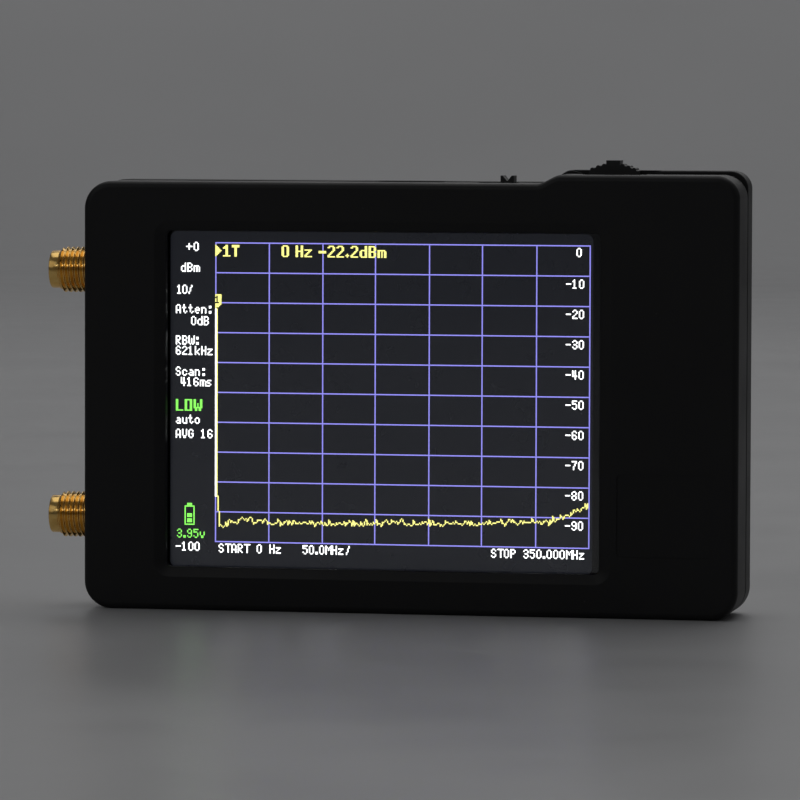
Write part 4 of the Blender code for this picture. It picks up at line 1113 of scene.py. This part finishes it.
# White texts in the small font, each with the dot (u right, v down) where it starts
TEXTS = (
    ("+0", -24, 0), ("dBm", -28, 16), ("Atten:", -32, 48), ("0dB", -20, 57),
    ("RBW:", -32, 72), ("621kHz", -32, 80), ("Scan:", -32, 96), ("416ms", -28, 104),
    ("auto", -32, 133), ("AVG 16", -32, 144), ("-100", -32, 231),
    ("START 0 Hz", 2, 232), ("50.0MHz/", 68, 232), ("STOP 350.000MHz", 215, 232),
)
ROW_LABEL_END = 285
LARGE_PITCH = 7
CARRIER = (50, 196)
NOISE_LEVEL = 215.0
NOISE_SPREAD = 1.2


def stamp(screen, art, u, v, colour, opaque=False):
    """Lights the dots of a small picture whose top left dot is (u, v); opaque clears those between."""
    for row, line in enumerate(art.split()):
        for column, mark in enumerate(line):
            if mark == "#":
                screen[(u + column, v + row)] = colour
            elif opaque:
                screen.pop((u + column, v + row), None)


def write(screen, text, u, v, colour, font=SMALL_FONT, pitch=5):
    """Writes text with its first letter's top left dot at (u, v)."""
    advances = {" ": 4, ".": 4} if font is LARGE_FONT else {".": 3, "+": 6}
    for letter in text:
        stamp(screen, font[letter], u, v, colour)
        u += advances.get(letter, pitch)


def draw_grid(screen):
    for row in range(GRID_ROWS + 1):
        for u in range(-1, GRID_WIDTH + 1):
            screen[(u, row * GRID_ROW)] = "display_grid"
    for column in range(GRID_COLUMNS + 1):
        u = round(column * GRID_WIDTH / GRID_COLUMNS) if column else -1
        for v in range(GRID_ROWS * GRID_ROW + 1):
            screen[(u, v)] = "display_grid"


def trace_level(u):
    """Height of the noise floor, in dots below the grid's top line, without its noise."""
    start = 6.0 * math.exp(-u / 7.0) * math.sin(u / 3.5)
    hump = -3.0 * math.exp(-(((u - 24) / 6) ** 2))
    droop = -5.0 * (u / 288) ** 1.5
    rise = -12.5 * max(0.0, (u - 256) / 32) ** 1.1
    return NOISE_LEVEL + start + hump + droop + rise


def draw_trace(screen):
    """A carrier at zero, then a slowly rising noise floor."""
    for v in range(*CARRIER):
        screen[(-1, v)] = "display_white"
        screen[(0, v)] = "display_yellow"
    generator = random.Random(7)
    last = CARRIER[1] - 2
    for u in range(1, GRID_WIDTH):
        noise = generator.gauss(0, NOISE_SPREAD) + 0.7 * math.sin(u * 0.9) * generator.random()
        level = 206 if u == 1 else round(trace_level(u) + noise)
        low, high = sorted((last + (level > last) - (level < last), level))
        for v in range(low, high + 1):
            screen[(u, v)] = "display_yellow"
        last = level


def draw_screen():
    """Every lit dot of the display, as (u right, v down) places to colours."""
    screen = {}
    draw_grid(screen)
    draw_trace(screen)
    for row in range(GRID_ROWS):
        text = f"-{row}0" if row else "0"
        nudge = 1 if row else 0
        u = ROW_LABEL_END - 5 * len(text) + 2 * nudge
        write(screen, text, u, row * GRID_ROW + 2 + nudge, "display_white")
    for text, u, v in TEXTS:
        write(screen, text, u, v, "display_white")
    write(screen, "10/", -31, 33, "display_white", pitch=4)
    write(screen, "LOW", -32, 121, "display_green", LARGE_FONT, LARGE_PITCH)
    stamp(screen, BATTERY, -25, 201, "display_green")
    write(screen, "3.95v", -31, 221, "display_green")
    stamp(screen, POINTER, -1, 2, "display_yellow")
    write(screen, "1T", 5, 2, "display_yellow", LARGE_FONT, LARGE_PITCH)
    write(screen, "0 Hz -22.2dBm", 51, 2, "display_yellow", LARGE_FONT, LARGE_PITCH)
    stamp(screen, FLAG, -1, 40, "display_yellow", opaque=True)
    return screen


def runs(numbers):
    """Consecutive numbers as (first, last) pairs."""
    pairs = []
    for number in sorted(numbers):
        if pairs and number == pairs[-1][1] + 1:
            pairs[-1] = (pairs[-1][0], number)
        else:
            pairs.append((number, number))
    return pairs


def strokes(dots):
    """Groups one colour's dots into bars: level runs first, then what is left in upright runs."""
    left = set(dots)
    bars = []
    for v in sorted({dot[1] for dot in dots}):
        for first, last in runs(u for u, w in dots if w == v):
            if last > first:
                bars.append((first, v, last, v))
                left -= {(u, v) for u in range(first, last + 1)}
    for u in sorted({dot[0] for dot in left}):
        bars += [(u, first, u, last) for first, last in runs(v for w, v in left if w == u)]
    return bars


def make_screen_dots():
    """One object for each colour of lit dot."""
    screen = draw_screen()
    inset = 0.01
    for colour in sorted(set(screen.values())):
        spans = []
        for u0, v0, u1, v1 in strokes([dot for dot in screen if screen[dot] == colour]):
            low = (GRID_LEFT + u0 * DOT + inset, DOT_Y[0], GRID_TOP - (v1 + 1) * DOT + inset)
            high = (GRID_LEFT + (u1 + 1) * DOT - inset, DOT_Y[1], GRID_TOP - v0 * DOT - inset)
            spans.append((low, high))
        dress(boxes(colour + "_dots", spans), colour)


def make_display():
    def layer(name, node, radius, edge):
        """A plate in the node's place, with rounded corners and edges."""
        (x0, x1), (y0, y1), (z0, z1) = extent(node)
        centre = (middle((x0, x1)), middle((z0, z1)))

        def outline(inset):
            size = (x1 - x0 - 2 * inset, z1 - z0 - 2 * inset)
            return rounded_rectangle(centre, size, radius, 6)

        stations = rounded_edge(y0, 1, edge, 3) + rounded_edge(y1, -1, edge, 3)[::-1]
        return slab(name, outline, stations)

    dress(layer("touch_glass", "touch_panel", 0.5, 0.08), "touch_glass", stands_for=["touch_panel"])
    dress(layer("display_cell", "lcd_cell", 0.5, 0.05), "cell_glass", stands_for=["lcd_cell"])
    centre = (middle(FIELD_X), middle(FIELD_Z))
    size = (FIELD_X[1] - FIELD_X[0], FIELD_Z[1] - FIELD_Z[0])
    outline = rounded_rectangle(centre, size, FIELD_RADIUS, 8)
    field = extruded("display_field", outline, FIELD_Y)
    dress(field, "display_field")
    make_screen_dots()


# -------- inside

def dress_inner_nodes():
    """The CAD nodes that stay as they are get their slot's full material."""
    for part in frame["record"]["subparts"]:
        node = frame["nodes"][part["node"]]
        if not node.hide_render:
            for place in node.material_slots:
                place.material = MATERIALS[part["material_slot"]]


# -------- stage, light and camera

def make_floor():
    """A round pale floor that sweeps up into its own backdrop, the same from every side."""
    radius = 1.45
    sweep = 0.6
    height = 1.1
    profile = [(0.0, 0.0), (0.4, 0.0), (radius, 0.0)]
    for step in range(1, 17):
        bend = PI / 2 * step / 16
        profile.append((radius + sweep * math.sin(bend), sweep * (1 - math.cos(bend))))
    profile.append((radius + sweep, height))
    work = bmesh.new()
    sides = 96
    rows = []
    for distance, z in profile:
        row = []
        for step in range(sides):
            angle = 2 * PI * step / sides
            row.append(work.verts.new((distance * math.cos(angle), distance * math.sin(angle), z)))
        rows.append(row)
    for low, high in zip(rows, rows[1:]):
        bridge(work, low, high)
    floor = object_from(work, "floor")
    floor.data.shade_smooth()
    finish = Finish("floor", IOR=1.45)
    finish.tint(finish.noise(160.0, 5.0), (0.42, 0.42, 0.425), (0.47, 0.47, 0.475))
    finish.rough(0.32, 0.42, 40.0, 4.0)
    floor.data.materials.append(finish.material)
    floor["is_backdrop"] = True


# Soft lights, in the frame's metres: name, place, size, power, and the point that each faces
AIM = (0.0, 0.0, 0.03)
STUDIO_LIGHTS = (
    ("top_light", (0.0, 0.25, 0.95), (1.1, 0.8), 2.0, AIM),
    ("back_light", (0.1, 0.85, 0.6), (0.9, 0.5), 0.7, AIM),
    ("backdrop_light", (-0.3, 1.6, 0.9), (2.0, 0.8), 3.1, (-0.3, 1.65, 0.0)),
    ("left_fill", (-0.75, -0.75, 0.6), (0.7, 0.7), 0.45, AIM),
    ("right_fill", (0.95, -0.1, 0.45), (0.5, 0.6), 0.15, AIM),
    ("front_glint", (-0.17, -0.8, 0.4), (0.35, 0.12), 0.18, AIM),
)
AIR_COLOUR = (0.86, 0.88, 0.92)
AIR_STRENGTH = 0.09


def make_lights():
    """The soft lights, and a faint even light from all round."""
    for name, place, size, power, aim in STUDIO_LIGHTS:
        light = bpy.data.lights.new(name, "AREA")
        light.shape = "RECTANGLE"
        light.size, light.size_y = size
        light.energy = power
        item = bpy.data.objects.new(name, light)
        item.location = place
        item.rotation_mode = "QUATERNION"
        item.rotation_quaternion = (Vector(aim) - Vector(place)).to_track_quat("-Z", "Y")
        bpy.context.scene.collection.objects.link(item)
    world = bpy.data.worlds.new("studio")
    world.use_nodes = True
    background = world.node_tree.nodes["Background"]
    background.inputs["Color"].default_value = (*AIR_COLOUR, 1.0)
    background.inputs["Strength"].default_value = AIR_STRENGTH
    bpy.context.scene.world = world


def make_camera():
    """A long lens, from the right and slightly above, aimed at the display's middle."""
    target = at(44.65, 0.0, 29.49)
    distance = 0.794
    yaw = math.radians(11.1)
    pitch = math.radians(3.19)
    roll = math.radians(0.18)
    forward = Vector((-math.sin(yaw) * math.cos(pitch), math.cos(yaw) * math.cos(pitch), -math.sin(pitch)))
    data = bpy.data.cameras.new("camera")
    data.lens = 261.0
    data.sensor_width = 36.0
    data.clip_start = 0.01
    data.clip_end = 20.0
    camera = bpy.data.objects.new("camera", data)
    camera.location = target - forward * distance
    camera.rotation_mode = "QUATERNION"
    camera.rotation_quaternion = forward.to_track_quat("-Z", "Y") @ Quaternion((0, 0, 1), roll)
    bpy.context.scene.collection.objects.link(camera)
    bpy.context.scene.camera = camera


def corners(bounds):
    """A box's two corners as plain lists."""
    return [list(corner) for corner in bounds]


MATERIALS = make_materials()
make_camera()
make_floor()
make_lights()
make_front_shell()
make_rear_shell()
make_screws()
make_jacks()
make_usb()
make_knob()
make_jog()
make_display()
dress_inner_nodes()
bpy.context.scene.view_settings.view_transform = "Standard"

{"cad": corners(cad_box), "visual": corners(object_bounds())}
